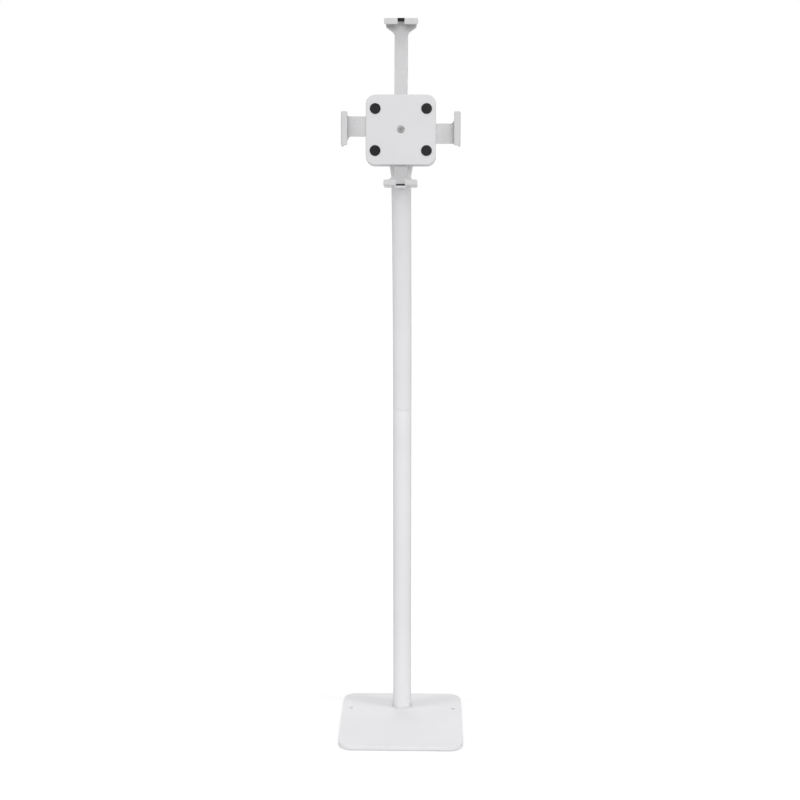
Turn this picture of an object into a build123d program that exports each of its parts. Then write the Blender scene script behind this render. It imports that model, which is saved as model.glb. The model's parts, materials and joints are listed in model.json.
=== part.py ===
"""Adjustable floor stand: a heavy plate, a pole in two pieces and a holder with four hooks.

Millimetres, +Z up, front towards -Y. The origin is on the floor under the middle of the base
plate. The holder has its own plane: local x is +X, local y runs up the holder, and local z
points out of its front, with zero on the face of its pads, where the gripped thing rests.
"""
import os
from math import atan, ceil, cos, hypot, pi, radians, sin, sqrt, tan

from build123d import *

os.makedirs("parts", exist_ok=True)

# Shared clearances, the overrun of every through cut, and plain turns
fit_gap = 0.05
slide_gap = 0.3
layer_gap = 0.4
turn_gap = 0.1
cut_overrun = 1.0
quarter_turn = 90
half_turn = 180
hex_sides = 6

# Base plate, its rubber feet and the two floor-screw holes
base_width = 200.0
base_depth = 200.0
base_corner_radius = 22.0
plate_thickness = 6.0
plate_top_edge = 1.6
plate_bottom_edge = 0.5
foot_radius = 9.0
foot_thickness = 1.5
foot_edge = 0.4
foot_inset = 20.0
floor_hole_side_inset = 14.0
floor_hole_rear_inset = 58.0
floor_hole_radius = 2.75
floor_hole_countersink = 3.7
countersink_angle = 90

# Pole: two equal tubes, plugs and the fastenings inside them
pole_rear_inset = 48.0
tube_radius = 15.0
tube_wall = 1.5
seam_height = 525.0
seam_edge = 0.4
foot_plug_length = 24.0
pole_screw_radius = 5.0
pole_screw_length = 22.0
pole_screw_head_radius = 9.5
pole_screw_socket_radius = 3.4
dowel_radius = 2.0
dowel_length = 8.0
dowel_plate_depth = 3.0
dowel_offset = 9.0
foot_ring_radius = 17.0
foot_ring_height = 3.0
foot_ring_edge = 1.4
lower_insert_length = 26.0
upper_insert_length = 14.0
stud_radius = 6.0
stud_below_seam = 20.0
stud_above_seam = 12.0
upper_straight = 16.0
bend_radius = 820.0
bend_angle = 24.4
upper_end_straight = 22.0

# Neck fork on the top of the pole
spigot_length = 20.0
collar_height = 5.0
neck_screw_radius = 2.5
neck_screw_depth = 7.0
neck_screw_drop = 10.0
fork_width = 31.0
fork_depth = 22.0
fork_corner_radius = 7.0
shoulder_half_width = 18.0
shoulder_half_depth = 13.5
fork_shoulder_height = 20.0
fork_slot_floor = 12.5
fork_eye_radius = 11.0
fork_edge = 0.8
fork_edge_angle = 45

# Tilt joint
tilt_back_of_tube = 4.3
tilt_above_tube = 40.2
tilt_bolt_radius = 4.0
tilt_bolt_head_radius = 7.0
tilt_bolt_head_height = 5.0
tilt_bolt_head_edge = 0.6
tilt_socket_radius = 2.9
tilt_socket_depth = 3.0
tilt_washer_radius = 8.5
tilt_washer_thickness = 1.5
tilt_nut_radius = 7.5
tilt_nut_height = 7.5
nut_face_inset = 0.9
nut_chamfer_angle = 60
tilt_bolt_tail = 2.0
knuckle_width = 14.0
knuckle_eye_radius = 10.0
friction_washer_thickness = 1.2
friction_washer_radius = 9.5

# Swivel disc behind the holder
disc_radius = 30.0
disc_thickness = 5.0
disc_edge = 1.2
lug_reach = 29.0
lug_top = 10.5
rib_thickness = 3.0
rib_height = 4.5
rib_length = 44.0
rib_side = 12.0
rib_rise = 2.0
rib_draft_angle = 5
liner_radius = 26.0
liner_thickness = 1.5
swivel_bolt_radius = 4.0
swivel_head_radius = 7.4
swivel_head_height = 4.6
swivel_pocket_depth = 5.0
swivel_washer_radius = 8.5
swivel_washer_thickness = 1.6
swivel_nut_height = 7.0
swivel_bolt_tail = 2.0

# What the hooks are set to grip, and where the holder stands
grip_width = 169.5
grip_height = 240.0
grip_depth = 7.5
grip_play = 0.3
holder_ahead_of_tilt = 35.0
holder_above_tilt = 34.0
holder_lean = 11
grip_rise = 38.7

# Holder body
body_size = 104.0
body_corner_radius = 14.0
body_edge = 2.5
body_front_edge = 1.5
body_seam_edge = 0.3
body_wall = 2.2
pad_proud = 1.0
pad_sink = 0.5
pad_radius = 8.0
pad_edge = 0.3
pad_span_x = 76.0
pad_span_y = 62.0
guide_plate_thickness = 1.0
guide_plate_gap = 0.5
cover_screw_span = 86.0
cover_screw_radius = 1.5
cover_screw_head_radius = 3.0
cover_screw_head_height = 1.5
cover_screw_socket_radius = 1.3
cover_screw_socket_depth = 1.0
cover_boss_radius = 4.0
centre_boss_radius = 12.5
guide_rib = 2.0
guide_rib_low = 14.0
guide_rib_high = 47.0

# Side arms, their travel from where they stand, their racks and the pinion
side_travel_in = 22.0
side_travel_out = 18.0
side_arm_thickness = 4.0
side_arm_low = 20.0
side_arm_high = 9.5
side_arm_inner = 44.0
side_arm_flare_start = 76.0
side_arm_corner = 3.0
side_arm_sweep_radius = 4.0
gear_module = 1.5
pinion_teeth = 16
pressure_angle = 20
tooth_addendum = 1.3
tooth_dedendum = 1.6
tooth_backlash = 0.12
flank_steps = 4
rack_spare_teeth = 1
pinion_pin_radius = 3.0
pinion_pin_head_radius = 4.5
pinion_pin_head_height = 1.4
pinion_pin_socket_radius = 2.0
pinion_window_radius = 6.0
pinion_shoulder_radius = 4.4

# Hooks and their rubber linings
hook_width = 50.0
hook_wall = 2.4
hook_lip = 6.3
hook_edge = 0.9
hook_corner = 2.2
lining_thickness = 0.9
lining_inset = 0.8
lining_lip_inset = 0.6
top_notch_width = 10.0
bottom_notch_width = 13.0
hook_flare_height = 9.0
hook_flare_radius = 4.0
tongue_width = 17.5
tongue_thickness = 3.0
tongue_corner = 2.2

# Top and bottom arms, and the top arm's travel from where it stands
long_arm_width = 20.0
long_arm_thickness = 4.0
long_arm_sweep_radius = 8.0
top_arm_stop_gap = 3.0
top_travel_down = 42.0
top_travel_up = 15.0
bottom_root_width = 44.0
bottom_root_top = 38.0
bottom_root_corner = 2.0
bottom_screw_span = 30.0
bottom_screw_height = 44.5
bottom_screw_radius = 1.6
bottom_screw_head_radius = 3.2
bottom_screw_head_height = 1.6
bottom_screw_length = 6.0
bottom_boss_radius = 4.2

# Lock, latch and the teeth of the top arm
latch_step = 3.0
latch_tooth_depth = 1.5
latch_notch_width = 2.4
latch_notch_floor = 0.5
latch_tooth_gap = 0.2
latch_rest_gap = 0.9
latch_travel = 2.2
latch_teeth = 4
latch_height = 12.0
latch_outer = 38.0
latch_guide_length = 9.0
latch_slot_gap = 0.15
lock_x = 30.0
lock_y = 28.0
lock_barrel_radius = 6.5
lock_flange_radius = 8.0
lock_flange_height = 1.5
lock_flange_edge = 0.4
lock_plug_radius = 4.5
lock_plug_proud = 0.5
key_slot_width = 1.3
key_slot_length = 6.0
key_slot_depth = 6.0
lock_cam_radius = 5.5
lock_cam_thickness = 1.2
lock_pin_radius = 1.75
lock_nut_radius = 9.2
lock_nut_height = 2.0

# Worked-out heights and places on the pole
plate_top = foot_thickness + plate_thickness
pole_y = base_depth / 2 - pole_rear_inset
floor_hole_y = base_depth / 2 - floor_hole_rear_inset
floor_hole_span = base_width - 2 * floor_hole_side_inset
tube_bore = tube_radius - tube_wall
plug_radius = tube_bore - fit_gap
bend_start = seam_height + upper_straight
bend_rise = bend_radius * sin(radians(bend_angle))
bend_forward = bend_radius * (1 - cos(radians(bend_angle)))
end_rise = upper_end_straight * cos(radians(bend_angle))
end_forward = upper_end_straight * sin(radians(bend_angle))
tube_end = (0, pole_y - bend_forward - end_forward, bend_start + bend_rise + end_rise)
tube_end_way = (0, -sin(radians(bend_angle)), cos(radians(bend_angle)))
tube_end_plane = Plane(origin=tube_end, x_dir=(1, 0, 0), z_dir=tube_end_way)
tilt_y = tube_end[1] + tilt_back_of_tube
tilt_z = tube_end[2] + tilt_above_tube
tilt_plane = Plane(origin=(0, tilt_y, tilt_z), x_dir=(0, 1, 0), z_dir=(1, 0, 0))
knuckle_half = knuckle_width / 2
cheek_inner = knuckle_half + friction_washer_thickness + turn_gap
cheek_outer = fork_width / 2

# The holder's plane, two sections of it, and its levels from the lips back to the swivel disc
lean_sin = sin(radians(holder_lean))
lean_cos = cos(radians(holder_lean))
holder_y = tilt_y - holder_ahead_of_tilt
holder_z = tilt_z + holder_above_tilt
holder = Plane(origin=(0, holder_y, holder_z), x_dir=(1, 0, 0), z_dir=(0, -lean_cos, lean_sin))
holder_outward = Axis(holder.origin, holder.z_dir)
across_section = Plane(origin=holder.origin, x_dir=holder.x_dir, z_dir=-holder.y_dir)
upright_section = Plane(origin=holder.origin, x_dir=holder.y_dir, z_dir=holder.x_dir)
body_front = -pad_proud
cover_inside = body_front - body_wall
side_front = cover_inside - layer_gap
side_back = side_front - side_arm_thickness
guide_front = side_back - layer_gap
guide_back = guide_front - guide_plate_thickness
long_front = guide_back - layer_gap
long_back = long_front - long_arm_thickness
boss_front = long_back - layer_gap
pocket_floor = boss_front - swivel_pocket_depth
body_back = pocket_floor - body_wall
liner_back = body_back - liner_thickness
disc_front = liner_back - turn_gap
disc_back = disc_front - disc_thickness
lip_inside = grip_depth + lining_thickness + grip_play
lip_outside = lip_inside + hook_wall
tilt_in_holder = holder.to_local_coords(Vector(0, tilt_y, tilt_z))
tilt_up = tilt_in_holder.Y
tilt_back = tilt_in_holder.Z

# Where the hooks stand, measured from the swivel's centre
side_face = grip_width / 2
top_face = grip_rise + grip_height / 2
bottom_face = grip_height / 2 - grip_rise
hook_half = hook_width / 2
pinion_pitch_radius = gear_module * pinion_teeth / 2
rack_step = pi * gear_module
pinion_tip_radius = pinion_pitch_radius + tooth_addendum
pinion_root_radius = pinion_pitch_radius - tooth_dedendum
cam_throw = hypot(latch_travel / 2, latch_travel / 2)
rack_teeth_inward = ceil(side_travel_out / rack_step) + rack_spare_teeth
rack_teeth_outward = ceil(side_travel_in / rack_step) + rack_spare_teeth
rack_inner_end = rack_teeth_inward * rack_step + rack_step / 2
top_arm_foot = top_travel_down - bottom_root_top + top_arm_stop_gap
latch_notches_below = ceil(top_travel_up / latch_step) + latch_teeth // 2
latch_notches_above = ceil(top_travel_down / latch_step) + latch_teeth // 2
countersink_taper = countersink_angle / 2
stand_up = (Align.CENTER, Align.CENTER, Align.MIN)
hang_down = (Align.CENTER, Align.CENTER, Align.MAX)


def save(part, name):
    """Label a finished piece and write it under the same name."""
    part.label = name
    export_step(part, f"parts/{name}.step")


# Base plate
with BuildPart() as base_plate:
    with BuildSketch(Plane.XY.offset(foot_thickness)):
        RectangleRounded(base_width, base_depth, base_corner_radius)
    extrude(amount=plate_thickness)
    fillet(base_plate.faces().sort_by(Axis.Z)[-1].edges(), plate_top_edge)
    chamfer(base_plate.faces().sort_by(Axis.Z)[0].edges(), plate_bottom_edge)
    with Locations(Plane(origin=(0, floor_hole_y, plate_top))):
        with GridLocations(floor_hole_span, 0, 2, 1):
            CounterSinkHole(floor_hole_radius, floor_hole_countersink, counter_sink_angle=countersink_angle)
    with Locations(Plane(origin=(0, pole_y, foot_thickness), z_dir=(0, 0, -1))):
        CounterSinkHole(
            pole_screw_radius + fit_gap,
            pole_screw_head_radius + fit_gap,
            counter_sink_angle=countersink_angle,
        )
    with BuildSketch(Plane(origin=(0, pole_y - dowel_offset, plate_top))):
        Circle(dowel_radius + fit_gap)
    extrude(amount=-dowel_plate_depth, mode=Mode.SUBTRACT)
save(base_plate.part, "base_plate")

# Rubber feet under the four corners
with BuildPart() as base_feet:
    with GridLocations(base_width - 2 * foot_inset, base_depth - 2 * foot_inset, 2, 2):
        Cylinder(foot_radius, foot_thickness, align=stand_up)
    chamfer(base_feet.edges().group_by(Axis.Z)[0], foot_edge)
save(base_feet.part, "base_feet")

# Countersunk screw that pulls the pole down on the plate
pole_screw_cone = pole_screw_head_radius - pole_screw_radius
with BuildPart(Plane(origin=(0, pole_y, foot_thickness))) as pole_screw:
    Cone(pole_screw_head_radius, pole_screw_radius, pole_screw_cone, align=stand_up)
    Cylinder(pole_screw_radius, pole_screw_length, align=stand_up)
    with BuildSketch(Plane(origin=(0, pole_y, foot_thickness))):
        RegularPolygon(pole_screw_socket_radius, hex_sides)
    extrude(amount=pole_screw_cone, mode=Mode.SUBTRACT)
save(pole_screw.part, "pole_screw")

# Dowel that keeps the pole from turning on the plate
with BuildPart(Plane(origin=(0, pole_y - dowel_offset, plate_top - dowel_plate_depth))) as pole_dowel:
    Cylinder(dowel_radius, dowel_length, align=stand_up)
save(pole_dowel.part, "pole_dowel")

# Plug in the foot of the lower tube
with BuildPart(Plane(origin=(0, pole_y, plate_top))) as pole_foot_plug:
    Cylinder(plug_radius, foot_plug_length, align=stand_up)
    Cylinder(pole_screw_radius + fit_gap, foot_plug_length, align=stand_up, mode=Mode.SUBTRACT)
    with Locations((0, -dowel_offset)):
        Cylinder(dowel_radius + fit_gap, dowel_length - dowel_plate_depth + fit_gap,
                 align=stand_up, mode=Mode.SUBTRACT)
save(pole_foot_plug.part, "pole_foot_plug")

# Trim ring round the pole's foot
with BuildPart(Plane(origin=(0, pole_y, plate_top))) as foot_ring:
    Cylinder(foot_ring_radius, foot_ring_height, align=stand_up)
    fillet(foot_ring.faces().sort_by(Axis.Z)[-1].edges(), foot_ring_edge)
    Cylinder(tube_radius + fit_gap, foot_ring_height, align=stand_up, mode=Mode.SUBTRACT)
save(foot_ring.part, "foot_ring")

# Lower tube, straight, from the plate to the seam
with BuildPart() as lower_tube:
    with BuildSketch(Plane(origin=(0, pole_y, plate_top))):
        Circle(tube_radius)
    extrude(amount=seam_height - plate_top)
    chamfer(lower_tube.faces().sort_by(Axis.Z)[-1].edges(), seam_edge)
    with BuildSketch(Plane(origin=(0, pole_y, plate_top))):
        Circle(tube_bore)
    extrude(amount=seam_height - plate_top, mode=Mode.SUBTRACT)
save(lower_tube.part, "lower_tube")

# Threaded inserts either side of the seam, and the stud that joins them
with BuildPart(Plane(origin=(0, pole_y, seam_height))) as lower_tube_insert:
    Cylinder(plug_radius, lower_insert_length, align=hang_down)
    Cylinder(stud_radius + fit_gap, lower_insert_length, align=hang_down, mode=Mode.SUBTRACT)
save(lower_tube_insert.part, "lower_tube_insert")

with BuildPart(Plane(origin=(0, pole_y, seam_height))) as upper_tube_insert:
    Cylinder(plug_radius, upper_insert_length, align=stand_up)
    Cylinder(stud_radius + fit_gap, upper_insert_length, align=stand_up, mode=Mode.SUBTRACT)
save(upper_tube_insert.part, "upper_tube_insert")

with BuildPart(Plane(origin=(0, pole_y, seam_height - stud_below_seam))) as joining_stud:
    Cylinder(stud_radius, stud_below_seam + stud_above_seam, align=stand_up)
    chamfer(joining_stud.edges().filter_by(GeomType.CIRCLE), seam_edge)
save(joining_stud.part, "joining_stud")

# Place of the set screw in the back of the tube's end, looking out of its hole
neck_screw_mouth = tube_end_plane.from_local_coords(Vector(0, tube_radius, -neck_screw_drop))
neck_screw_plane = Plane(origin=neck_screw_mouth, z_dir=tube_end_plane.y_dir)

# Upper tube: a short straight foot, one long forward bend and a straight end
with BuildPart() as upper_tube:
    with BuildLine(Plane(origin=(0, pole_y, seam_height), x_dir=(0, -1, 0), z_dir=(-1, 0, 0))) as tube_path:
        foot_run = Line((0, 0), (0, upper_straight))
        bend_run = JernArc(foot_run @ 1, foot_run % 1, bend_radius, -bend_angle)
        end_run = Line(bend_run @ 1, (bend_run @ 1) + (bend_run % 1) * upper_end_straight)
    with BuildSketch(Plane(origin=(0, pole_y, seam_height))):
        Circle(tube_radius)
        Circle(tube_bore, mode=Mode.SUBTRACT)
    sweep(path=tube_path.wire())
    seam_rims = upper_tube.edges().group_by(Axis.Z)[0]
    chamfer(seam_rims.sort_by(SortBy.RADIUS)[-1], seam_edge)
    with Locations(neck_screw_plane):
        Cylinder(neck_screw_radius + fit_gap, neck_screw_depth + cut_overrun, mode=Mode.SUBTRACT)
save(upper_tube.part, "upper_tube")

# Neck fork: a spigot in the tube, a collar, a shoulder that steps back, and two cheeks
fork_base = Plane(origin=(0, tilt_y, tilt_z - fork_shoulder_height))
with BuildPart() as neck_fork:
    with BuildSketch(tube_end_plane.offset(-spigot_length)):
        Circle(plug_radius)
    extrude(amount=spigot_length)
    with BuildSketch(tube_end_plane):
        Circle(tube_radius)
    extrude(amount=collar_height)
    with BuildSketch(tube_end_plane.offset(collar_height)):
        Circle(tube_radius)
    with BuildSketch(fork_base):
        Ellipse(shoulder_half_width, shoulder_half_depth)
    loft()
    with BuildSketch(fork_base):
        RectangleRounded(fork_width, fork_depth, fork_corner_radius)
    extrude(amount=fork_shoulder_height)
    with BuildSketch(tilt_plane):
        Circle(fork_eye_radius)
    extrude(amount=cheek_outer - fork_edge, both=True)
    with BuildSketch(tilt_plane.offset(cheek_outer - fork_edge)):
        Circle(fork_eye_radius)
    extrude(amount=fork_edge, taper=fork_edge_angle)
    with BuildSketch(tilt_plane.offset(fork_edge - cheek_outer)):
        Circle(fork_eye_radius)
    extrude(amount=-fork_edge, taper=fork_edge_angle)
    with BuildSketch(tilt_plane):
        with Locations((0, (fork_eye_radius + cut_overrun - fork_slot_floor) / 2)):
            Rectangle(2 * fork_depth, fork_slot_floor + fork_eye_radius + cut_overrun)
    extrude(amount=cheek_inner, both=True, mode=Mode.SUBTRACT)
    with BuildSketch(tilt_plane):
        Circle(tilt_bolt_radius + fit_gap)
    extrude(amount=fork_width, both=True, mode=Mode.SUBTRACT)
    with Locations(neck_screw_plane):
        Cylinder(neck_screw_radius + fit_gap, 2 * neck_screw_depth, mode=Mode.SUBTRACT)
save(neck_fork.part, "neck_fork")

# Set screw through the back of the tube into the spigot
with BuildPart(neck_screw_plane.offset(-tube_wall / 2)) as neck_screw:
    Cylinder(neck_screw_radius, neck_screw_depth - tube_wall, align=hang_down)
    Cylinder(neck_screw_radius / 2, neck_screw_depth / 2, align=hang_down, mode=Mode.SUBTRACT)
save(neck_screw.part, "neck_screw")

# Tilt bolt with its washers and nut, lying along X through the fork
bolt_left = Plane(origin=(-cheek_outer - tilt_washer_thickness, tilt_y, tilt_z), z_dir=(1, 0, 0))
bolt_reach = 2 * cheek_outer + 2 * tilt_washer_thickness + tilt_nut_height + tilt_bolt_tail
with BuildPart(bolt_left) as tilt_bolt:
    Cylinder(tilt_bolt_radius, bolt_reach, align=stand_up)
    Cylinder(tilt_bolt_head_radius, tilt_bolt_head_height, align=hang_down)
    with BuildSketch(bolt_left.offset(-tilt_bolt_head_height)):
        RegularPolygon(tilt_socket_radius, hex_sides)
    extrude(amount=tilt_socket_depth, mode=Mode.SUBTRACT)
    chamfer(tilt_bolt.faces().sort_by(Axis.X)[0].outer_wire().edges(), tilt_bolt_head_edge)
save(tilt_bolt.part, "tilt_bolt")

with BuildPart() as tilt_bolt_washers:
    with BuildSketch(tilt_plane.offset(cheek_outer)):
        Circle(tilt_washer_radius)
        Circle(tilt_bolt_radius + fit_gap, mode=Mode.SUBTRACT)
    extrude(amount=tilt_washer_thickness)
    with BuildSketch(tilt_plane.offset(-cheek_outer)):
        Circle(tilt_washer_radius)
        Circle(tilt_bolt_radius + fit_gap, mode=Mode.SUBTRACT)
    extrude(amount=-tilt_washer_thickness)
save(tilt_bolt_washers.part, "tilt_bolt_washers")

with BuildPart() as tilt_nut:
    with BuildSketch(tilt_plane.offset(cheek_outer + tilt_washer_thickness)):
        RegularPolygon(tilt_nut_radius, hex_sides)
        Circle(tilt_bolt_radius + fit_gap, mode=Mode.SUBTRACT)
    extrude(amount=tilt_nut_height)
    with BuildSketch(tilt_plane.offset(cheek_outer + tilt_washer_thickness + tilt_nut_height)):
        Circle(tilt_nut_radius - nut_face_inset)
    extrude(amount=-tilt_nut_height, taper=-nut_chamfer_angle, mode=Mode.INTERSECT)
save(tilt_nut.part, "tilt_nut")

# Friction washers between the fork's cheeks and the knuckle
with BuildPart() as tilt_friction_washers:
    with BuildSketch(tilt_plane.offset(knuckle_half)):
        Circle(friction_washer_radius)
        Circle(tilt_bolt_radius + fit_gap, mode=Mode.SUBTRACT)
    extrude(amount=friction_washer_thickness)
    with BuildSketch(tilt_plane.offset(-knuckle_half)):
        Circle(friction_washer_radius)
        Circle(tilt_bolt_radius + fit_gap, mode=Mode.SUBTRACT)
    extrude(amount=-friction_washer_thickness)
save(tilt_friction_washers.part, "tilt_friction_washers")

# Swivel disc with the knuckle that the fork holds, and two stiffening ribs
with BuildPart() as swivel_disc:
    with BuildSketch(holder.offset(disc_back)):
        Circle(disc_radius)
    extrude(amount=disc_thickness)
    fillet(swivel_disc.faces().sort_by(holder_outward)[0].edges(), disc_edge)
    with BuildSketch(upright_section):
        with Locations((tilt_up, tilt_back)):
            Circle(knuckle_eye_radius)
        with Locations(((-lug_reach - lug_top) / 2, disc_back + disc_edge / 2)):
            Rectangle(lug_reach - lug_top, disc_edge)
        make_hull()
    extrude(amount=knuckle_half, both=True)
    with BuildSketch(holder.offset(disc_back)):
        with Locations((-rib_side, rib_rise), (rib_side, rib_rise)):
            Rectangle(rib_thickness, rib_length)
    extrude(amount=-rib_height, taper=rib_draft_angle)
    with BuildSketch(holder.offset(disc_front)):
        Circle(swivel_bolt_radius + fit_gap)
    extrude(amount=-disc_thickness, mode=Mode.SUBTRACT)
    with BuildSketch(tilt_plane):
        Circle(tilt_bolt_radius + fit_gap)
    extrude(amount=knuckle_width, both=True, mode=Mode.SUBTRACT)
save(swivel_disc.part, "swivel_disc")

# Swivel liner, bolt, washer and nut; the bolt's head sits captive in the rear cover
with BuildPart() as swivel_liner:
    with BuildSketch(holder.offset(liner_back)):
        Circle(liner_radius)
        Circle(swivel_bolt_radius + fit_gap, mode=Mode.SUBTRACT)
    extrude(amount=liner_thickness)
save(swivel_liner.part, "swivel_liner")

swivel_washer_back = disc_back - turn_gap - swivel_washer_thickness
swivel_nut_back = swivel_washer_back - swivel_nut_height
with BuildPart() as swivel_bolt:
    with BuildSketch(holder.offset(pocket_floor)):
        RegularPolygon(swivel_head_radius, hex_sides)
    extrude(amount=swivel_head_height)
    with BuildSketch(holder.offset(pocket_floor)):
        Circle(swivel_bolt_radius)
    extrude(amount=swivel_nut_back - swivel_bolt_tail - pocket_floor)
save(swivel_bolt.part, "swivel_bolt")

with BuildPart() as swivel_washer:
    with BuildSketch(holder.offset(swivel_washer_back)):
        Circle(swivel_washer_radius)
        Circle(swivel_bolt_radius + fit_gap, mode=Mode.SUBTRACT)
    extrude(amount=swivel_washer_thickness)
save(swivel_washer.part, "swivel_washer")

with BuildPart() as swivel_nut:
    with BuildSketch(holder.offset(swivel_nut_back)):
        RegularPolygon(swivel_head_radius, hex_sides)
        Circle(swivel_bolt_radius + fit_gap, mode=Mode.SUBTRACT)
    extrude(amount=swivel_nut_height)
    with BuildSketch(holder.offset(swivel_nut_back)):
        Circle(swivel_head_radius - nut_face_inset)
    extrude(amount=swivel_nut_height, taper=-nut_chamfer_angle, mode=Mode.INTERSECT)
save(swivel_nut.part, "swivel_nut")

# Levels of the lock: its cam turns just behind the latch, its barrel ends behind the cam
cam_front = long_back - layer_gap / 2
cam_back = cam_front - lock_cam_thickness
barrel_front = cam_back - turn_gap
flange_back = body_back - lock_flange_height
plug_back = flange_back - lock_plug_proud
latch_low = lock_y - latch_height / 2
latch_high = lock_y + latch_height / 2
latch_root = long_arm_width / 2 + latch_rest_gap + latch_tooth_depth
long_half = long_arm_width / 2
guide_edge = long_half + slide_gap
latch_guide_end = guide_edge + latch_guide_length
cavity_size = body_size - 2 * body_wall
cavity_half = cavity_size / 2
body_half = body_size / 2


def rib(x_low, x_high, y_low, y_high):
    """Rectangle between two values of local x and two of local y."""
    with Locations(((x_low + x_high) / 2, (y_low + y_high) / 2)):
        Rectangle(x_high - x_low, y_high - y_low)


# Rear cover: shell, captive-head boss, guides of the long arms and the latch, screw bosses
with BuildPart() as holder_rear_cover:
    with BuildSketch(holder.offset(body_back)):
        RectangleRounded(body_size, body_size, body_corner_radius)
    extrude(amount=guide_back - body_back)
    fillet(holder_rear_cover.faces().sort_by(holder_outward)[0].edges(), body_edge)
    chamfer(holder_rear_cover.faces().sort_by(holder_outward)[-1].edges(), body_seam_edge)
    with BuildSketch(holder.offset(pocket_floor)):
        RectangleRounded(cavity_size, cavity_size, body_corner_radius - body_wall)
    extrude(amount=guide_back - pocket_floor, mode=Mode.SUBTRACT)
    with BuildSketch(holder.offset(pocket_floor)):
        Circle(centre_boss_radius)
        rib(guide_edge, latch_guide_end, latch_low, latch_high)
    extrude(amount=boss_front - pocket_floor)
    with BuildSketch(holder.offset(pocket_floor)):
        with GridLocations(bottom_screw_span, 0, 2, 1):
            with Locations((0, -bottom_screw_height)):
                Circle(bottom_boss_radius)
    extrude(amount=long_back - pocket_floor)
    with BuildSketch(holder.offset(pocket_floor)):
        with GridLocations(cover_screw_span, cover_screw_span, 2, 2):
            Circle(cover_boss_radius)
        rib(-guide_edge - guide_rib, -guide_edge, guide_rib_low, guide_rib_high)
        rib(guide_edge, guide_edge + guide_rib, guide_rib_low, latch_low - slide_gap)
        rib(guide_edge, guide_edge + guide_rib, latch_high + slide_gap, guide_rib_high)
        rib(guide_edge, latch_guide_end, latch_low - slide_gap - guide_rib, latch_low - slide_gap)
        rib(guide_edge, latch_guide_end, latch_high + slide_gap, latch_high + slide_gap + guide_rib)
    extrude(amount=guide_back - pocket_floor)
    with BuildSketch(holder.offset(long_back - slide_gap)):
        rib(-guide_edge, guide_edge, cavity_half - cut_overrun, body_half + cut_overrun)
        rib(-guide_edge, guide_edge, -body_half - cut_overrun, -cavity_half + cut_overrun)
    extrude(amount=guide_back - long_back + slide_gap + cut_overrun, mode=Mode.SUBTRACT)
    with BuildSketch(holder.offset(pocket_floor)):
        RegularPolygon(swivel_head_radius + turn_gap, hex_sides)
    extrude(amount=swivel_pocket_depth, mode=Mode.SUBTRACT)
    with BuildSketch(holder.offset(body_back - cut_overrun)):
        Circle(swivel_bolt_radius + fit_gap)
        with Locations((lock_x, lock_y)):
            Circle(lock_barrel_radius + fit_gap)
    extrude(amount=body_wall + 2 * cut_overrun, mode=Mode.SUBTRACT)
    with BuildSketch(holder.offset(guide_back)):
        with GridLocations(cover_screw_span, cover_screw_span, 2, 2):
            Circle(cover_screw_radius + fit_gap)
    extrude(amount=body_back - guide_back, mode=Mode.SUBTRACT)
    with BuildSketch(holder.offset(body_back)):
        with GridLocations(cover_screw_span, cover_screw_span, 2, 2):
            Circle(cover_screw_head_radius + fit_gap)
    extrude(amount=cover_screw_head_height, taper=countersink_taper, mode=Mode.SUBTRACT)
    with BuildSketch(holder.offset(long_back)):
        with GridLocations(bottom_screw_span, 0, 2, 1):
            with Locations((0, -bottom_screw_height)):
                Circle(bottom_screw_radius + fit_gap)
    extrude(amount=pocket_floor - long_back, mode=Mode.SUBTRACT)
save(holder_rear_cover.part, "holder_rear_cover")

# Front cover: shell with side windows, pad recesses, pinion window, bosses and two guide ribs
window_low = -side_arm_low - slide_gap
window_high = side_arm_high + slide_gap
with BuildPart() as holder_front_cover:
    with BuildSketch(holder.offset(guide_back)):
        RectangleRounded(body_size, body_size, body_corner_radius)
    extrude(amount=body_front - guide_back)
    fillet(holder_front_cover.faces().sort_by(holder_outward)[-1].edges(), body_front_edge)
    chamfer(holder_front_cover.faces().sort_by(holder_outward)[0].edges(), body_seam_edge)
    with BuildSketch(holder.offset(guide_back)):
        RectangleRounded(cavity_size, cavity_size, body_corner_radius - body_wall)
    extrude(amount=cover_inside - guide_back, mode=Mode.SUBTRACT)
    with BuildSketch(holder.offset(cover_inside)):
        with GridLocations(cover_screw_span, cover_screw_span, 2, 2):
            Circle(cover_boss_radius)
        rib(-cavity_half, cavity_half, window_low - guide_rib, window_low)
        rib(-cavity_half, cavity_half, -window_low, -window_low + guide_rib)
    extrude(amount=guide_front - cover_inside)
    with BuildSketch(holder.offset(guide_back - cut_overrun)):
        rib(cavity_half - cut_overrun, body_half + cut_overrun, window_low, window_high)
        rib(-body_half - cut_overrun, -cavity_half + cut_overrun, -window_high, -window_low)
    extrude(amount=cover_inside - guide_back + cut_overrun, mode=Mode.SUBTRACT)
    with BuildSketch(holder.offset(body_front)):
        with GridLocations(pad_span_x, pad_span_y, 2, 2):
            Circle(pad_radius + fit_gap)
    extrude(amount=-pad_sink, mode=Mode.SUBTRACT)
    with BuildSketch(holder.offset(body_front)):
        Circle(pinion_window_radius)
    extrude(amount=-body_wall, mode=Mode.SUBTRACT)
    with BuildSketch(holder.offset(guide_front)):
        with GridLocations(cover_screw_span, cover_screw_span, 2, 2):
            Circle(cover_screw_radius + fit_gap)
    extrude(amount=cover_inside - guide_front, mode=Mode.SUBTRACT)
save(holder_front_cover.part, "holder_front_cover")

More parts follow.
